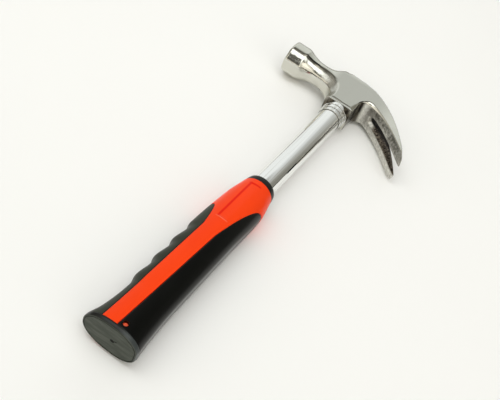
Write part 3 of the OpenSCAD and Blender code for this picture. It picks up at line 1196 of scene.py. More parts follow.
    def slot_half(self, y: Array) -> tuple[Array, Array]:
        """Half width of the nail slot.

        Args:
            y: Places to the striking face.

        Returns:
            Shares of the way from its root to the tips, and half widths.
        """
        r = self.slot_root_w / 2
        y0 = -self.slot_root - r
        far = np.clip((y0 - y) / (y0 + self.claw_reach), 0, 1.2)
        return far, mix(r, self.slot_tip_w / 2, far)

    def terms(self, p: Array) -> tuple[Array, Array, Array]:
        """Distances to the side walls, the cheeks and the slanted facets.

        Args:
            p: Points by three numbers.

        Returns:
            The three distances.
        """
        x, y, z = p[:, 0], p[:, 1], np.abs(p[:, 2])
        wall = self.gap.at(x, y) + self.fall(x, y, z)
        up = x - self.head_at
        bulge = (1 - self.opening(y)) / 2
        past = np.minimum(y - self.cheek_middle, 0)
        cheek = z - self.half(y) + past**2 * (0.5 / self.cheek_crown) * ramp(y, -16, -8)
        cut = self.corner(x, y) / 2
        lean = np.radians(45 + self.neck_lean * self.neck(y))
        slant = np.cos(lean) * (cheek + cut) + np.sin(lean) * (wall + cut)
        slant = slant + bulge / self.facet_crown * ((np.abs(up) - z) ** 2) / 2
        cheek = cheek + bulge / self.flat_crown * up**2
        return wall, cheek, slant

    def distance(self, p: Array) -> Array:
        """Distance to the head's skin, negative inside.

        Args:
            p: Points by three numbers.

        Returns:
            The distances.
        """
        y = p[:, 1]
        scoop = ramp(y, 8, 15) * ramp(y, 46, 22)
        k = self.edge_round + self.neck_round * self.neck(y)
        wall, cheek, slant = self.terms(p)
        body = soft_max(soft_max(cheek, slant, k + self.scoop_round * scoop), wall, k)
        crown = (p[:, 2] ** 2 + (p[:, 0] - self.head_at) ** 2) * self.face_crown
        face = p[:, 1] - self.poll_reach + crown
        rim = (body + face + self.poll_bevel) * math.sqrt(0.5)
        body = soft_max(soft_max(body, face, 0.5), rim, 0.6)
        past = (p[:, :2] - self.tip) @ -self.tip_dir
        limit = self.tip_slant * (self.claw_tip_w / 2 - np.abs(p[:, 2])) - 0.4
        body = soft_max(body, past - limit, 0.4)
        body = soft_max(body, -self.slot(p), 0.5)
        return soft_max(body, self.bore - np.hypot(p[:, 1], p[:, 2]), 0.4)

    def slope(self, p: Array, h: float = 0.06) -> Array:
        """Gradient of the distance at points.

        Args:
            p: Points by three numbers.
            h: Half the span of each difference.

        Returns:
            The gradients.
        """
        found = np.empty_like(p)
        for axis in range(3):
            shift = np.zeros(3)
            shift[axis] = h
            found[:, axis] = (self.distance(p + shift) - self.distance(p - shift)) / (2 * h)
        return found

    def mesh(self) -> Mesh:
        """Skin of the head with its marks.

        Returns:
            The mesh.
        """
        low, high = np.array(self.skin_low), np.array(self.skin_high)
        count = np.ceil((high - low) / self.step).astype(int) + 1
        axes = [low[k] + self.step * np.arange(count[k]) for k in range(3)]
        spots = np.stack(np.meshgrid(*axes, indexing="ij"), -1).reshape(-1, 3)
        values = self.distance(spots).reshape(count)
        points, quads = wrap(values, low, self.step)
        for turn in range(6):
            if turn < 3:
                points = self.relax(points, quads)
            grade = self.slope(points)
            size = np.maximum((grade**2).sum(1), 0.2)
            points = points - grade * (np.clip(self.distance(points), -0.4, 0.4) / size)[:, None]
        normal = self.slope(points)
        normal /= np.linalg.norm(normal, axis=1, keepdims=True)
        mesh = outward(Mesh(points, quads.tolist()))
        mesh.normals = normal
        mesh.marks = self.marks(points, normal)
        return mesh

    @staticmethod
    def relax(points: Array, quads: Array) -> Array:
        """Even out points by moving each part of the way to its neighbours' middle.

        Args:
            points: Points of a skin.
            quads: Its quads.

        Returns:
            The moved points.
        """
        total, count = np.zeros_like(points), np.zeros(len(points))
        for a in range(4):
            b = (a + 1) % 4
            for i, j in ((a, b), (b, a)):
                np.add.at(total, quads[:, i], points[quads[:, j]])
                np.add.at(count, quads[:, i], 1)
        return mix(points, total / count[:, None], 0.5)

    def marks(self, p: Array, normal: Array) -> dict[str, Array]:
        """Where the skin is ground, raw or worn bright, and where shade is painted on it.

        Args:
            p: Points of the skin.
            normal: Normals there.

        Returns:
            A share from 0 to 1 for each mark.
        """
        k = self.edge_round * 1.3
        wall, cheek, slant = self.terms(p)
        bright = np.maximum.reduce([
            crease(wall, cheek, k), crease(wall, slant, k), crease(cheek, slant, k)
        ])
        x, y, z = p.T
        flat = np.abs(normal[:, 2])
        behind, past = -y - self.eye_back, -y - self.slot_root
        mouth = ramp(np.abs(self.slot(p)), 0.45, 0.1)
        slot = mouth * ramp(past, 2, 7)
        deep = self.under.at(x, y) - self.fall(x, y, z)
        under = ramp(deep, 0.65, 0.15) * ramp(flat, 0.55, 0.3) * (1 - slot) * ramp(behind, 3, 7)
        under = np.maximum(under, mouth * (1 - slot) * ramp(past, -4, -2))
        # Painted shade: deep in the nail slot, and in the dark hole at the slot's root.
        sunk = np.sqrt(slot) * ramp(deep - 1.24 * self.slot_half(y)[1], 0, 1.4)
        sunk = np.maximum(sunk, mouth * ramp(deep, 2.4, 3.6) * ramp(past, 7, 4))
        hollow = ramp(slant - np.maximum(wall, cheek), -1.5, 1.5)
        hollow = hollow * ramp(y, 6, 14) * ramp(y, 36, 26) * ramp(x, 324, 319)
        # Painted shade: a darker strip on the near tine's under side, on the near side only.
        near_tine_shade_strip = ramp(z, 6.5, 9) * ramp(-y, 24, 30) * ramp(-y, 66, 58)
        # Painted shade at the eye's foot: its bottom face darkest by the collar and faded out on
        # the far side, and its back wall.
        collar_gap_shade = ramp(-normal[:, 0], 0.5, 0.8) * ramp(x - self.eye_bottom, 1.5, 0.5)
        collar_gap_shade = collar_gap_shade * mix(1.0, 0.55, ramp(np.hypot(y, z), 12, 16)) * ramp(z, -5, 0)
        back = ramp(-normal[:, 1], 0.3, 0.75) * ramp(flat, 0.6, 0.3)
        back = back * ramp(behind, -1.5, -0.5) * ramp(behind - self.claw_fillet, 2, 0.5)
        foot = np.maximum(collar_gap_shade, back)
        satin = ramp(flat, 0.9, 0.98) * ramp(y, 24, 15) * ramp(y, -46, -20)
        satin = satin * ramp(x - self.head_at, 14, 6)
        forge = ramp(y, 14, 22) * ramp(y - self.poll_reach, -1.5, -3)
        forge = forge * ramp(flat, 0.25, 0.45) * ramp(flat, 0.95, 0.85)
        bright = bright * (1 - under) * (1 - slot) * (1 - hollow) * (1 - foot)
        return {
            "ground": under, "raw": slot, "sunk": sunk, "hollow": hollow,
            "patch": near_tine_shade_strip, "foot": foot, "edge": bright, "satin": satin, "forge": forge,
        }

    def build(self) -> None:
        """Make the head."""
        piece("head_forged", self.mesh(), Plate().make("plated_steel"), "head")


# Shaft


@dataclass
class Shaft:
    """Chromed tube with its plug, and the stepped collar under the eye."""

    tube_r: float = 9.5
    wall: float = 1.5
    start: float = 6.0
    top: float = 335.7
    plug_len: float = 34.0
    collar_from: float = 280.7
    collar_to: float = 292.5
    collar_low: float = 10.3
    collar_top: float = 11.1
    groove_w: float = 0.45
    groove_d: float = 0.28
    fit: float = 0.05
    sides: int = 144

    def tube(self) -> Mesh:
        """Tube with eased ends.

        Returns:
            The mesh.
        """
        inner = self.tube_r - self.wall
        line = eased([
            (self.start, inner, 0.2), (self.start, self.tube_r, 0.4),
            (self.top, self.tube_r, 0.4), (self.top, inner, 0.3),
        ])
        places = sown([self.start + 4, self.top - 4], 8.0)
        outer = np.stack([places, np.full_like(places, self.tube_r)], -1)
        cut = int(np.argmax(line[:, 0] > self.start + 5))
        return turned(np.vstack([line[:cut], outer, line[cut:]]), self.sides)

    def plug(self) -> Mesh:
        """Tapered plug in the top of the tube.

        Returns:
            The mesh.
        """
        r = self.tube_r - self.wall - self.fit
        low = self.top - self.plug_len
        line = [(low, r - 1), (low + 3, r)]
        line += [(self.top - 0.5, r), (self.top, r - 0.5), (self.top, r * 0.5)]
        return outward(loft(np.array([hoop(x, q, 96) for x, q in line])))

    def collar(self) -> Mesh:
        """Three rounded rings that step out toward the eye.

        Returns:
            The mesh, with painted shade marked in its grooves.
        """
        inner = self.tube_r + self.fit
        wide = (self.collar_to - self.collar_from - 2 * self.groove_w) / 3
        line: list[tuple[float, float, float]] = [(self.collar_from, inner, 0)]
        for i in range(3):
            r = mix(self.collar_low, self.collar_top, i / 2)
            x = self.collar_from + i * (wide + self.groove_w)
            line += [(x, r, 0.55), (x + wide, r, 0.4)]
            if i < 2:
                deep = r - self.groove_d
                line += [(x + wide, deep, 0.1), (x + wide + self.groove_w, deep, 0.1)]
        line.append((self.collar_to, inner, 0))
        mesh = turned(eased(line), self.sides)
        r = np.hypot(mesh.points[:, 1], mesh.points[:, 2])
        share = (mesh.points[:, 0] - self.collar_from) / (self.collar_to - self.collar_from)
        level = mix(self.collar_low, self.collar_top, np.clip(share, 0, 1))
        # Painted shade in the grooves, strongest at the lowest step.
        mesh.marks["groove"] = ramp(level - r, 0.1, 0.4) * mix(1.0, 0.65, ramp(share, 0, 0.4))
        return mesh

    def build(self) -> None:
        """Make the tube, its plug and the collar."""
        chrome = Chrome().make("mirror_chrome")
        piece("shaft_chromed", self.tube(), chrome, "shaft_tube")
        piece("eye_plug", self.plug(), Steel().make("turned_steel"), "expander_plug")
        piece("eye_collar", self.collar(), chrome, "socket_collar")


# Grip


@dataclass
class Grip:
    """Red core with a finger pad, a palm pad, a nose ring and an end cap."""

    grip_len: float = 172.2
    cap_t: float = 3.0
    cap_round: float = 0.8
    spigot_len: float = 16.0
    spigot_r: float = 7.85
    ring_len: float = 6.5
    ring_r: float = 11.6
    shoulder_r: float = 12.9
    bore: float = 9.55
    butt: tuple[float, float, float] = (22.6, 19.2, 14.0)
    flare: tuple[float, float] = (18.7, 17.9)
    waist: tuple[float, float, float] = (16.3, 16.6, 13.4)
    crest_front: float = 18.1
    belly: tuple[float, float, float] = (17.8, 16.2, 13.8)
    upper: tuple[float, float, float] = (15.7, 16.1, 13.4)
    palm_flat: float = 0.55
    part_line: float = 0.12
    pad_t: float = 3.0
    pad_roll: float = 0.7
    core_roll: float = 0.35
    seam: float = 0.15
    pad_gap: float = 0.08
    finger_end: float = 128.0
    finger_edge_end: float = 105.0
    palm_end: float = 147.0
    palm_edge_end: float = 101.0
    stripe_middle: float = 103.0
    stripe_front_ends: tuple[float, float] = (11.8, 8.4)
    stripe_back_ends: tuple[float, float] = (1.2, -3.9)
    ridge_count: int = 4
    ridge_pitch: float = 19.9
    ridge_first: float = 45.5
    ridge_depth: float = 1.8
    ridge_back: float = 0.66
    gate_at: float = 6.8
    gate_off: float = 2.6
    gate_d: float = 4.1
    gate_ring: float = 0.3
    panel_at: float = 116.4
    panel_len: float = 45.0
    panel_w: float = 9.1
    panel_off: float = 1.4
    panel_d: float = 0.4
    panel_wall: float = 2.0
    panel_slope: float = 6.0
    panel_lip: float = 0.38
    lip_out: float = 0.55
    section: tuple[float, float] = (2.3, 2.0)
    cap_gap: float = 0.02
    cap_sides: int = 160
    gate_sides: int = 40

    def __post_init__(self) -> None:
        """Work out the stations of the grip's outline."""
        n = self.grip_len
        self.ring_start = n - self.ring_len
        places = [0.0, 0.075 * n, 0.215 * n, 0.62 * n, 0.86 * n, self.ring_start]
        self.belly_at = places[3]
        front = [self.butt[0], self.flare[0], self.waist[0], self.belly[0], self.upper[0]]
        back = [self.butt[1], self.flare[1], self.waist[1], self.belly[1], self.upper[1]]
        self.front_line = list(zip(places, [*front, self.shoulder_r]))
        self.front_line.insert(3, (self.ridge_first, self.crest_front))
        self.back_line = list(zip(places, [*back, self.shoulder_r]))
        halves = [self.butt[2], self.waist[2], self.belly[2], self.upper[2], self.shoulder_r]
        self.half_line = list(zip([places[0], *places[2:]], halves))

    @staticmethod
    def along(stations: Sequence[tuple[float, float]], x: Array) -> Array:
        """Smooth curve through stations.

        Args:
            stations: Places and values in order.
            x: Places to read.

        Returns:
            The values there.
        """
        s = np.array(stations)
        n = len(s)
        a, b = np.maximum(np.arange(n) - 1, 0), np.minimum(np.arange(n) + 1, n - 1)
        grade = (s[b, 1] - s[a, 1]) / (s[b, 0] - s[a, 0])
        x = np.clip(x, s[0, 0], s[-1, 0])
        i = np.clip(np.searchsorted(s[:, 0], x, "left") - 1, 0, n - 2)
        h = s[i + 1, 0] - s[i, 0]
        t = (x - s[i, 0]) / h
        u = 1 - t
        value = u * u * (1 + 2 * t) * s[i, 1] + t * t * (1 + 2 * u) * s[i + 1, 1]
        return value + t * u * h * (u * grade[i] - t * grade[i + 1])

    def power(self, x: Array) -> Array:
        """Roundness of the section, nearing a circle at the ring."""
        return mix(*self.section, ramp(x, self.belly_at, self.ring_start))

    def skin(self, x: Array, a: Array, d: Array | float) -> Array:
        """Points of the grip's skin.

        Args:
            x: Places along the shaft.
            a: Angles from the finger side.
            d: Depths under the skin.

        Returns:
            Points by three numbers.
        """
        p = 2 / self.power(x)
        c, s = np.cos(a), np.sin(a)
        w = np.where(c > 0, self.along(self.front_line, x), self.along(self.back_line, x)) - d
        h = self.along(self.half_line, x) - d
        y = w * np.sign(c) * np.abs(c) ** p
        flat = self.palm_flat * ramp(x, 150, 110)
        y = np.where(c > 0, y, soft_max(y, flat - w, 0.4))
        z = h * np.sign(s) * np.abs(s) ** p
        return np.stack(np.broadcast_arrays(x, y, z), -1)

    def lean(self, x: Array, y: Array) -> Array:
        """Angle of the skin at sideways places.

        Args:
            x: Places along the shaft.
            y: Sideways places.

        Returns:
            The angles from the finger side.
        """
        w = np.where(y > 0, self.along(self.front_line, x), self.along(self.back_line, x))
        q = np.arccos(np.clip((np.abs(y) / w) ** (self.power(x) / 2), 0, 1))
        return np.where(y > 0, q, np.pi - q)

    def stripe_front(self, x: Array) -> Array:
        """Front edge of the stripe."""
        return mix(*self.stripe_front_ends, np.minimum(1, x / self.finger_edge_end))

    def stripe_back(self, x: Array) -> Array:
        """Back edge of the stripe."""
        return mix(*self.stripe_back_ends, np.minimum(1, x / self.palm_edge_end))

    def stop(self, side: Side, u: Array) -> Array:
        """End of a pad.

        Args:
            side: Which pad.
            u: Shares from the pad's middle to the stripe.

        Returns:
            Places along the shaft.
        """
        if side is Side.FINGER:
            return mix(self.finger_end, self.finger_edge_end, np.abs(u) ** 6)
        return mix(self.palm_end, self.palm_edge_end, np.abs(u) ** 3.5)

    def swing(self, side: Side, x: Array, u: Array, seam: float) -> Array:
        """Angle of a pad's column.

        Args:
            side: Which pad.
            x: Places along the shaft.
            u: Shares from the pad's middle to the stripe.
            seam: Distance kept from the stripe's edge.

        Returns:
            The angles.
        """
        if side is Side.FINGER:
            return u * self.lean(x, self.stripe_front(x) + seam)
        return np.pi + u * (np.pi - self.lean(x, self.stripe_back(x) - seam))

    def ridge(self, x: Array) -> Array:
        """Depth of the finger hollows.

        Args:
            x: Places along the shaft.

        Returns:
            The depths.
        """
        last = self.ridge_first + (self.ridge_count - 1) * self.ridge_pitch
        p = (x - self.ridge_first) / self.ridge_pitch
        q = p - np.floor(p)
        back = self.ridge_back
        w = np.where(q < back, ease(1 - q / back), ease((q - back) / (1 - back)))
        return np.where((x < self.ridge_first) | (x > last), 0, self.ridge_depth * (1 - w))

    def pad(self, side: Side) -> Mesh:
        """Closed pad with rolled edges.

        Args:
            side: Which pad.

        Returns:
            The mesh.
        """
        close = [0.9, 0.955, 0.975, 0.988, 0.996, 1.0]
        half = np.concatenate([[0, 0.005, 0.011, 0.018], np.linspace(0.03, 0.9, 30)[:-1], close])
        us = np.concatenate([-half[:0:-1], half])
        vs = np.concatenate([
            [0, 0.0012, 0.003, 0.006], np.linspace(0.01, 0.985, 170), [0.99, 0.994, 0.997, 0.999, 1]
        ])
        v, u = np.meshgrid(vs, us, indexing="ij")
        x = mix(self.cap_t + self.cap_gap, self.stop(side, u) - self.seam, v)
        a = self.swing(side, x, u, self.seam)
        flat = self.skin(x, a, 0.0)
        rim = np.vstack([flat[:, 0], flat[:, -1], flat[-1]])
        gap = nearest(flat.reshape(-1, 3), dense(rim)).reshape(x.shape)
        gap = np.minimum(gap, 0.35 + x - self.cap_t)
        deep = roll(gap, self.pad_roll)
        if side is Side.FINGER:
            deep = deep + self.ridge(x) * (1 - u**2) ** 1.5
        line = ramp(np.abs(u), 0.012, 0.003) * (side is Side.PALM)
        outer = self.skin(x, a, deep + self.part_line * line)
        inner = self.skin(x, a, self.pad_t)
        mesh = self.shell(outer, inner)
        seam = np.maximum(ramp(gap, 0.35, 0), line)
        mesh.marks["seam"] = np.concatenate([seam.ravel(), np.ones(x.size)])
        if side is Side.PALM:
            flank = 0.3 * ramp(np.abs(u), 0.32, 0.12) * ramp(x, 140, 100)
            mesh.marks["flank"] = np.concatenate([flank.ravel(), np.zeros(x.size)])
        return mesh

    @staticmethod
    def shell(outer: Array, inner: Array) -> Mesh:
        """Closed shell between two grids of points.

        Args:
            outer: Rows by columns of points.
            inner: The same under them.

        Returns:
            The mesh, outer points first.
        """
        rows, cols = outer.shape[:2]
        n = rows * cols
        top = grid_faces(rows, cols, False)
        faces = top + [[i + n for i in f[::-1]] for f in top]
        edge = [
            *range(cols),
            *[i * cols + cols - 1 for i in range(1, rows)],
            *[(rows - 1) * cols + j for j in range(cols - 2, -1, -1)],
            *[i * cols for i in range(rows - 2, 0, -1)],
        ]
        for a, b in zip(edge, edge[1:] + edge[:1]):
            faces.append([b, a, a + n, b + n])
        return outward(Mesh(np.vstack([outer.reshape(-1, 3), inner.reshape(-1, 3)]), faces))

    def panel_depth(self, x: Array, y: Array) -> Array:
        """Depth of the bare panel at places on the core.

        Args:
            x: Places along the shaft.
            y: Sideways places.

        Returns:
            The depths.
        """
        left, right, top, low = self.panel_sides(x, y)
        wall, slope = self.panel_wall, self.panel_slope
        sunk = ease(left / wall) * ease(top / wall) * ease(low / wall) * ease(right / slope)
        return self.panel_d * sunk - self.panel_lip * self.panel_lines(x, y)[1]

    def panel_sides(self, x: Array, y: Array) -> tuple[Array, Array, Array, Array]:
        """Distances inside the four edges of the bare panel.

        Args:
            x: Places along the shaft.
            y: Sideways places.

        Returns:
            Distances from the front, back, upper and lower edge.
        """
        half = self.panel_w / 2
        off = y - self.panel_off
        return half - off, half + off, self.panel_at + self.panel_len - x, x - self.panel_at

    def panel_lines(self, x: Array, y: Array) -> tuple[Array, Array]:
        """Painted shade on the front and upper walls, and a painted highlight on the lip under the
        panel.

        Args:
            x: Places along the shaft.
            y: Sideways places.

        Returns:
            A share from 0 to 1 for each.
        """
        w = self.panel_wall
        left, right, top, low = self.panel_sides(x, y)
        on_left, on_right, on_top, on_low = (ease(v / w + 0.5) for v in (left, right, top, low))
        front = ease(1.6 - np.abs(2 * left / w - 1) * 1.6) * on_top * on_low
        upper = ease(1.6 - np.abs(2 * top / w - 1) * 1.6) * on_left * on_right
        lip = ease(1 - np.abs(low + self.lip_out) / 0.6) * on_left * on_right
        return np.maximum(front, upper), lip

    def columns(self) -> list[tuple[float, Callable[[Array], Array], bool]]:
        """Columns of the core over half a turn.

        Returns:
            For each column the end of its pad, its angle along the shaft and whether a pad
            covers it.
        """
        cols: list[tuple[float, Callable[[Array], Array], bool]] = []
        seam = 0.3 * self.seam
        shares = np.concatenate([np.linspace(0, 0.95, 26), [0.97, 0.985, 0.994, 1.0]])
        for u in shares:

            def finger(x: Array, u: float = u) -> Array:
                """Angle of a column under the finger pad."""
                return self.swing(Side.FINGER, x, u, seam)

            cols.append((float(self.stop(Side.FINGER, u)), finger, True))
        front, back = self.stripe_front_ends[1], self.stripe_back_ends[1]
        wide = front - back
        left = (front - self.panel_off - self.panel_w / 2) / wide
        right = (front - self.panel_off + self.panel_w / 2) / wide
        lip = self.panel_wall / wide
        knots = [0, 0.008, 0.02, 0.035, 0.06, left - 0.02]
        knots += [left + lip * k for k in (-0.2, 0, 0.25, 0.5, 0.75, 1, 1.3)]
        knots += [right + lip * k for k in (-1.3, -1, -0.75, -0.5, -0.25, 0, 0.2)]
        knots += [0.98, 0.992, 1.0]
        for s in sown(knots, 0.06):
            end = mix(self.finger_edge_end, self.stripe_middle, float(ramp(s, 0, 0.12)))
            end = mix(end, self.palm_edge_end, float(ramp(s, 0.945, 1.0)))

            def stripe(x: Array, s: float = s) -> Array:
                """Angle of a column of the stripe."""
                return self.lean(x, mix(self.stripe_front(x), self.stripe_back(x), s))

            cols.append((end, stripe, False))
        for u in shares[::-1]:

            def palm(x: Array, u: float = u) -> Array:
                """Angle of a column under the palm pad."""
                return 2 * np.pi - self.swing(Side.PALM, x, u, seam)

            cols.append((float(self.stop(Side.PALM, u)), palm, True))
        return cols

    def heights(self) -> Array:
        """Shares of the way from the pads' ends to the ring, close at the panel's walls.

        Returns:
            The shares in order.
        """
        span = self.ring_start - self.stripe_middle
        first = (self.panel_at - self.stripe_middle) / span
        last = (self.panel_at + self.panel_len - self.stripe_middle) / span
        lip = self.panel_wall / span
        below = (-2.1, -1.7, -1.3, -1, -0.7, -0.4, -0.1, 0, 0.25, 0.5, 0.75, 1, 1.4)
        above = (-1.4, -1, -0.75, -0.5, -0.25, 0, 0.3)
        knots = [0, 0.003, 0.008, 0.015, 0.03]
        knots += [first + lip * k for k in below]
        knots += [last + lip * k for k in above] + [1.0]
        return sown(knots, 0.014)

    @staticmethod
    def spread(mark: Array) -> Array:
        """Mark of the core's half, taken round to the other half and to both ends."""
        whole = np.concatenate([mark, mark[:, -2:0:-1]], 1)
        return np.vstack([whole[:1], whole, whole[-1:]]).ravel()

    def core(self) -> Mesh:
        """Core with lands for the pads, the stripe between them and the bare panels.

        Returns:
            The mesh, with the gate pips.
        """
        cols = self.columns()
        low, high = np.linspace(0, 1, 130), self.heights()
        turn, land, span_x = [], [], []
        for end, angle, covered in cols:
            x = np.concatenate([
                mix(self.cap_t + self.cap_gap, end, low),
                mix(end + 0.3 * self.seam, self.ring_start, high),
            ])
            span_x.append(x)
            turn.append(angle(x))
            land.append(np.concatenate([np.full(len(low), covered), np.zeros(len(high), bool)]))
        x, a, sunk = np.array(span_x).T, np.array(turn).T, np.array(land).T.astype(bool)
        flat = self.skin(x, a, 0.0)
        covered = np.array([c for _, _, c in cols])
        f, b = int(np.argmin(covered)), len(covered) - int(np.argmin(covered[::-1])) - 1
        n = len(low)
        rim = np.vstack([flat[:n, f], flat[:n, b], flat[n, : f + 1], flat[n, b:]])
        step = np.linalg.norm(np.diff(rim, axis=0), axis=1)
        fine = dense(rim)[np.tile(step < 4, 4)]
        gap = nearest(flat.reshape(-1, 3), fine).reshape(x.shape)
        deep = roll(gap, self.core_roll) + self.panel_depth(x, flat[..., 1])
        deep = np.where(sunk, self.pad_t + self.pad_gap, deep)
        half = self.skin(x, a, deep)
        mirror = half[:, -2:0:-1] * np.array([1, 1, -1])
        outer = np.concatenate([half, mirror], 1)
        around = np.arctan2(outer[..., 2], outer[..., 1])
        bore = self.bore * np.stack([np.cos(around), np.sin(around)], -1)
        inner = np.concatenate([outer[..., :1], bore], -1)
        mesh = looped(np.stack([inner[0], *outer, inner[-1]]))
        # The seam mark carries the dark joints at the pads and the painted shade on the panel's
        # walls; the pale mark a painted highlight on the lip under the panel.
        shade, pale = self.panel_lines(x, flat[..., 1])
        mark = np.maximum(0.7 * ramp(gap, 0.3, 0), shade)
        mesh.marks["seam"] = self.spread(np.where(sunk, 1.0, mark))
        mesh.marks["pale"] = self.spread(0.6 * pale)
        for sign in (1, -1):
            mesh = mesh.join(self.pip(sign))
        return mesh

    def gate_spot(self, sign: int) -> Array:
        """Middle of a gate hole on the skin.

        Args:
            sign: Which side of the grip, 1 or -1.

        Returns:
            The point.
        """
        x = np.array(self.gate_at)
        a = self.lean(x, np.array(-self.gate_off))
        return self.skin(x, a, 0.0) * np.array([1, 1, sign])

    def pip(self, sign: int) -> Mesh:
        """Domed end of the core in a gate hole.

        Args:
            sign: Which side of the grip, 1 or -1.

        Returns:
            The mesh.
        """
        top = self.gate_spot(sign)[2]
        r = self.gate_d / 2 - self.gate_ring
        dome = ((1, 3.1), (1, 2.2), (0.93, 2.0), (0.75, 1.85), (0.45, 1.75), (0.15, 1.7))
        rings = [self.gate_circle(share * r, top - sign * deep) for share, deep in dome]
        mesh = outward(loft(np.array(rings)))
        # Painted highlight on the top of the dome.
        pale = np.repeat([0, 0, 0, 0.3, 0.5, 0.5], self.gate_sides)
        mesh.marks["pale"] = np.concatenate([pale, [0.5, 0]])
        return mesh

    def gate_circle(self, r: float, z: float) -> Array:
        """Circle about the middle of the gate holes at a height."""
        rim = hoop(z, r, self.gate_sides)[:, (1, 2, 0)]
        return rim + np.array([self.gate_at, -self.gate_off, 0])

    def ring(self) -> Mesh:
        """Nose ring that closes the grip on the tube.

        Returns:
            The mesh.
        """
        s = self.ring_start
        line = eased([
            (s, self.bore, 0), (s, self.shoulder_r - 0.15, 0.35),
            (s + 0.5 * self.ring_len, mix(self.shoulder_r, self.ring_r, 0.4), 2.2),
            (self.grip_len, self.ring_r, 0.9), (self.grip_len, self.bore, 0.3),
        ], 8)
        mesh = turned(line, 128)
        mesh.marks["seam"] = ramp(mesh.points[:, 0] - s, 0.3, 0)
        return mesh

    def cap(self) -> Mesh:
        """End cap with a rounded rim, a grooved border round its face and a spigot.

        Returns:
            The mesh.
        """
        a = np.linspace(0, 2 * np.pi, self.cap_sides, endpoint=False)
        end, wide, cut = self.cap_t + self.spigot_len, self.spigot_r, 0.6
        spigot = ((end, wide - cut), (end - cut, wide), (self.cap_t, wide))
        rings = [hoop(x, r, self.cap_sides) for x, r in spigot]
        r, border = self.cap_round, 0.35
        line = [(self.cap_t, 0.3), (self.cap_t - 0.1, 0.08), (self.cap_t - 0.3, 0.02)]
        line += [(2.0, 0.2), (1.2, 0.42), (r, 0.55)]
        for t in np.linspace(0.15, 1, 8) * math.pi / 2:
            line.append((r * (1 - math.sin(t)), 0.55 + r * (1 - math.cos(t))))
        line += [(0.0, 1.5), (border, 1.62), (border, 2.05)]
        line += [(0.02, 2.2), (0.03, 2.6), (0.05, 4.0)]
        seam, face = [0.0] * len(spigot), [0.0] * len(spigot)
        for x, d in line:
            rings.append(self.skin(np.full_like(a, x), a, d))
            seam.append(float(x in (self.cap_t, border)))
            face.append(float(ramp(d, 0.6, 1.2)))
        rim = rings[-1]
        for s in (0.85, 0.65, 0.45, 0.25, 0.08):
            rings.append(rim * np.array([1, s, s]))
            seam.append(0.0)
            face.append(1.0)
        mesh = outward(loft(np.array(rings)))
        mesh.marks["seam"] = np.concatenate([np.repeat(seam, len(a)), [0, 0]])
        mesh.marks["face"] = np.concatenate([np.repeat(face, len(a)), [0, 1]])
        return mesh

    def drill(self, pad: bpy.types.Object) -> None:
        """Cut the gate holes into the palm pad.

        Args:
            pad: The palm pad.
        """
        rings = [self.gate_circle(self.gate_d / 2, z) for z in (-20.0, 20.0)]
        bit = outward(loft(np.array(rings)))
        data = bpy.data.meshes.new("bit")
        data.from_pydata((bit.points * MM).tolist(), [], bit.faces)
        cutter = bpy.data.objects.new("bit", data)
        bpy.context.scene.collection.objects.link(cutter)
        cut = pad.modifiers.new("gate", "BOOLEAN")
        cut.operation, cut.solver, cut.object = "DIFFERENCE", "EXACT", cutter
        bpy.context.view_layer.update()
        scene_view = bpy.context.evaluated_depsgraph_get()
        holed = bpy.data.meshes.new_from_object(pad.evaluated_get(scene_view))
        pad.modifiers.clear()
        pad.data = holed
        bpy.data.objects.remove(cutter)
        holed.set_sharp_from_angle(angle=SHARP)

    def build(self) -> None:
        """Make the core, both pads, the ring and the cap."""
        # Its seam tone also paints the shade on the panel's walls.
        red = Moulding(
            (0.98, 0.058, 0.004), (0.95, 0.052, 0.003), rough=0.26, skin=0.00002, grain=1900.0,
            seam=(0.80, 0.010, 0.0004), gloss=0.16,
        )
        black = Moulding(
            (0.0014, 0.0015, 0.0011), (0.0024, 0.0026, 0.002), rough=0.24, skin=0.000012,
            grain=1700.0, seam=(0.001, 0.001, 0.001), gloss=0.26, sheen=0.08,
        )
        # Painted light: the finger pad is the palm pad's black rubber, painted a paler tone for the
        # light its side catches.
        lit_finger_rubber = Moulding(
            (0.027, 0.031, 0.022), (0.034, 0.038, 0.028), rough=0.34, skin=0.000012,
            grain=1700.0, seam=(0.004, 0.004, 0.004), gloss=0.12,
        )
        satin = Moulding(
            (0.003, 0.0032, 0.0024), (0.005, 0.0053, 0.004), rough=0.3, skin=0.00002,
            grain=2100.0, seam=(0.002, 0.002, 0.002), gloss=0.2,
        )
        dark, light = black.make("pad_rubber"), lit_finger_rubber.make("finger_rubber_painted_paler")
        piece("grip_red_core", self.core(), red.make("red_moulding"), "grip_core")
        piece("grip_finger_pad", self.pad(Side.FINGER), light, "finger_pad")
        palm = piece("grip_palm_pad", self.pad(Side.PALM), dark, "palm_pad")
        self.drill(palm)
        piece("grip_nose_ring", self.ring(), satin.make("ring_satin"), "nose_ring")
        piece("grip_end_cap", self.cap(), CapSkin().make("cap_moulding"), "end_cap")


# Studio


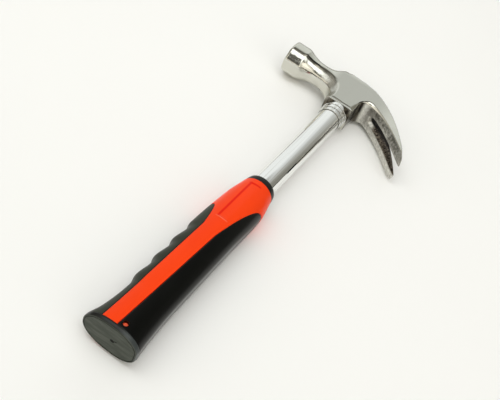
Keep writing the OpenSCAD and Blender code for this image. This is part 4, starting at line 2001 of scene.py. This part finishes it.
@dataclass
class Studio:
    """Pale floor, soft boxes and the camera."""

    floor_z: float = -0.0154
    floor_half: float = 4.0
    eye: tuple[float, float, float] = (-0.24817, -0.10828, 0.43003)
    right: tuple[float, float, float] = (0.5176, -0.8067, 0.2853)
    up: tuple[float, float, float] = (0.5262, 0.563, 0.6373)
    focus_px: float = 841.67
    frame_px: float = 500.0
    sensor: float = 36.0
    aim: tuple[float, float, float] = (0.18, 0.0, 0.0)
    lamp_tone: Colour = (1.0, 0.994, 0.982)
    room_tone: Colour = (1.0, 0.95, 0.84)
    room_pale: Colour = (0.44, 0.44, 0.425)
    room_strength: float = 2.0

    def floor(self) -> None:
        """Lay the floor."""
        n = 9
        side = np.linspace(-self.floor_half, self.floor_half, n)
        gx, gy = np.meshgrid(side, side, indexing="ij")
        spots = np.stack([gx, gy, np.full_like(gx, self.floor_z)], -1).reshape(-1, 3)
        data = bpy.data.meshes.new("floor")
        data.from_pydata(spots.tolist(), [], [f[::-1] for f in grid_faces(n, n, False)])
        data.materials.append(Paper().make("floor_paper"))
        floor = bpy.data.objects.new("floor", data)
        bpy.context.scene.collection.objects.link(floor)

    def camera(self) -> None:
        """Set the camera at the viewing angle."""
        lens = bpy.data.cameras.new("camera")
        lens.sensor_fit = "HORIZONTAL"
        lens.sensor_width = self.sensor
        lens.lens = self.focus_px / self.frame_px * self.sensor
        lens.clip_start, lens.clip_end = 0.01, 50.0
        thing = bpy.data.objects.new("camera", lens)
        bpy.context.scene.collection.objects.link(thing)
        right = Vector(self.right).normalized()
        up = Vector(self.up)
        up = (up - right * up.dot(right)).normalized()
        back = right.cross(up)
        turn = Matrix((right, up, back)).transposed().to_4x4()
        thing.matrix_world = Matrix.Translation(self.eye) @ turn
        bpy.context.scene.camera = thing

    def lamp(self, name: str, at: Colour, size: float, glow: float) -> None:
        """Hang a soft light that faces the middle of the hammer and shows in no gloss.

        Args:
            name: Name of the lamp.
            at: Its place.
            size: Length of its square side.
            glow: Its radiance.
        """
        light = bpy.data.lights.new(name, "AREA")
        light.shape = "SQUARE"
        light.size = size
        light.energy = glow * math.pi * size * size
        light.color = self.lamp_tone
        thing = bpy.data.objects.new(name, light)
        bpy.context.scene.collection.objects.link(thing)
        thing.location = at
        aim = Vector(self.aim) - Vector(at)
        thing.rotation_euler = aim.to_track_quat("-Z", "Y").to_euler()
        thing.visible_camera = False
        thing.visible_glossy = False

    def world(self) -> None:
        """Paint the dim room, with a darker line at the horizon."""
        world = bpy.data.worlds.new("room")
        bpy.context.scene.world = world
        world.use_nodes = True
        board = Board(world.node_tree)
        way = board.add("ShaderNodeTexCoord", out="Generated")
        x, y, z = (board.axis(way, n) for n in "XYZ")
        behind = (-x).step(0.1, 0.5)
        low = z.step(0.16, 0.24) * (1.0 - z.step(0.55, 0.65))
        palm = (-y).step(0.1, 0.6) * z.step(0.1, 0.4)
        front = y.step(0.25, 0.7) * z.step(0.2, 0.45)
        fill = (-y).step(-0.1, 0.15) * z.step(0.5, 0.6) * (1.0 - z.step(0.78, 0.88))
        level = 0.06 + front * 0.2 + behind * (low * 0.5 + palm * 0.15 + fill * 0.4)
        level = level + z.step(0.96, 0.985) * 0.3
        level = level * (1.0 - (1.0 - abs(z).step(0.05, 0.18)) * 0.9)
        colour = board.blend(level, (0.0, 0.0, 0.0), self.room_tone)
        seen = board.add("ShaderNodeLightPath", out="Is Camera Ray")
        colour = board.blend(seen, colour, self.room_pale)
        links = {"Color": colour, "Strength": self.room_strength}
        back = board.add("ShaderNodeBackground", links=links)
        board.add("ShaderNodeOutputWorld", links={"Surface": back})

    def box(self, name: str, glow: Glow, at: float, lights: bool = True) -> None:
        """Hang a glowing box that shows in gloss but not to the camera.

        Args:
            name: Name of the box.
            glow: Its light and its reach on two axes.
            at: Its place on the third axis.
            lights: Whether dull surfaces see it too.
        """
        (a, b), (c, d) = glow.low, glow.high
        d += glow.lift
        ring = [(a, b), (c, b), (c, d), (a, d)]
        turn = {"YZ": (2, 0, 1), "XZ": (0, 2, 1), "XY": (0, 1, 2)}[glow.axes]
        spots = [tuple((u, v, at)[k] for k in turn) for u, v in ring]
        data = bpy.data.meshes.new(name)
        data.from_pydata(spots, [], [(0, 1, 2, 3)])
        data.materials.append(glow.make(name + "_glow"))
        box = bpy.data.objects.new(name, data)
        bpy.context.scene.collection.objects.link(box)
        box.visible_camera = False
        box.visible_shadow = False
        box.visible_diffuse = lights

    def build(self) -> None:
        """Make the floor, light, room and camera."""
        bpy.context.scene.view_settings.view_transform = "Standard"
        self.floor()
        self.camera()
        self.world()
        side = Glow(
            "YZ", low=(-0.95, self.floor_z), high=(1.6, 0.77), fade=(0.2, 0.4, 0.16, 0.12),
            level=0.9, grade=1.1, least=0.3, peak=0.92, lift=0.6, settle=0.14,
        )
        top = Glow(
            "XY", low=(-0.42, -0.9), high=(0.26, 1.25), fade=(0.1, 0.1, 0.5, 0.3),
            level=1.0, grade=0.0, least=1.0, peak=2.0,
        )
        dark = Glow(
            "XZ", low=(0.31, self.floor_z), high=(0.75, 0.012), fade=(0.01, 0.01, 0.01, 0.01),
            level=0.0, grade=0.0, least=0.0, peak=0.0,
        )
        self.box("side_box", side, 0.85)
        self.box("top_box", top, 1.0)
        self.box("dark_card", dark, -0.12, False)
        self.lamp("ceiling_fill", (0.1, -0.1, 1.4), size=1.5, glow=1.3)
        self.lamp("palm_fill", (0.05, -1.1, 0.6), size=0.8, glow=0.9)


def corners(box: Any) -> list[list[float]]:
    """Two corners of a box as plain lists."""
    return [[float(v) for v in corner] for corner in box]


def main() -> None:
    """Build the hammer and its studio."""
    logging.basicConfig(level=logging.INFO, format="%(name)s %(message)s")
    for part in (Head(), Shaft(), Grip(), Studio()):
        part.build()
        LOG.info("%s done", type(part).__name__)
    bpy.context.view_layer.update()


if __name__ == "__main__":
    main()
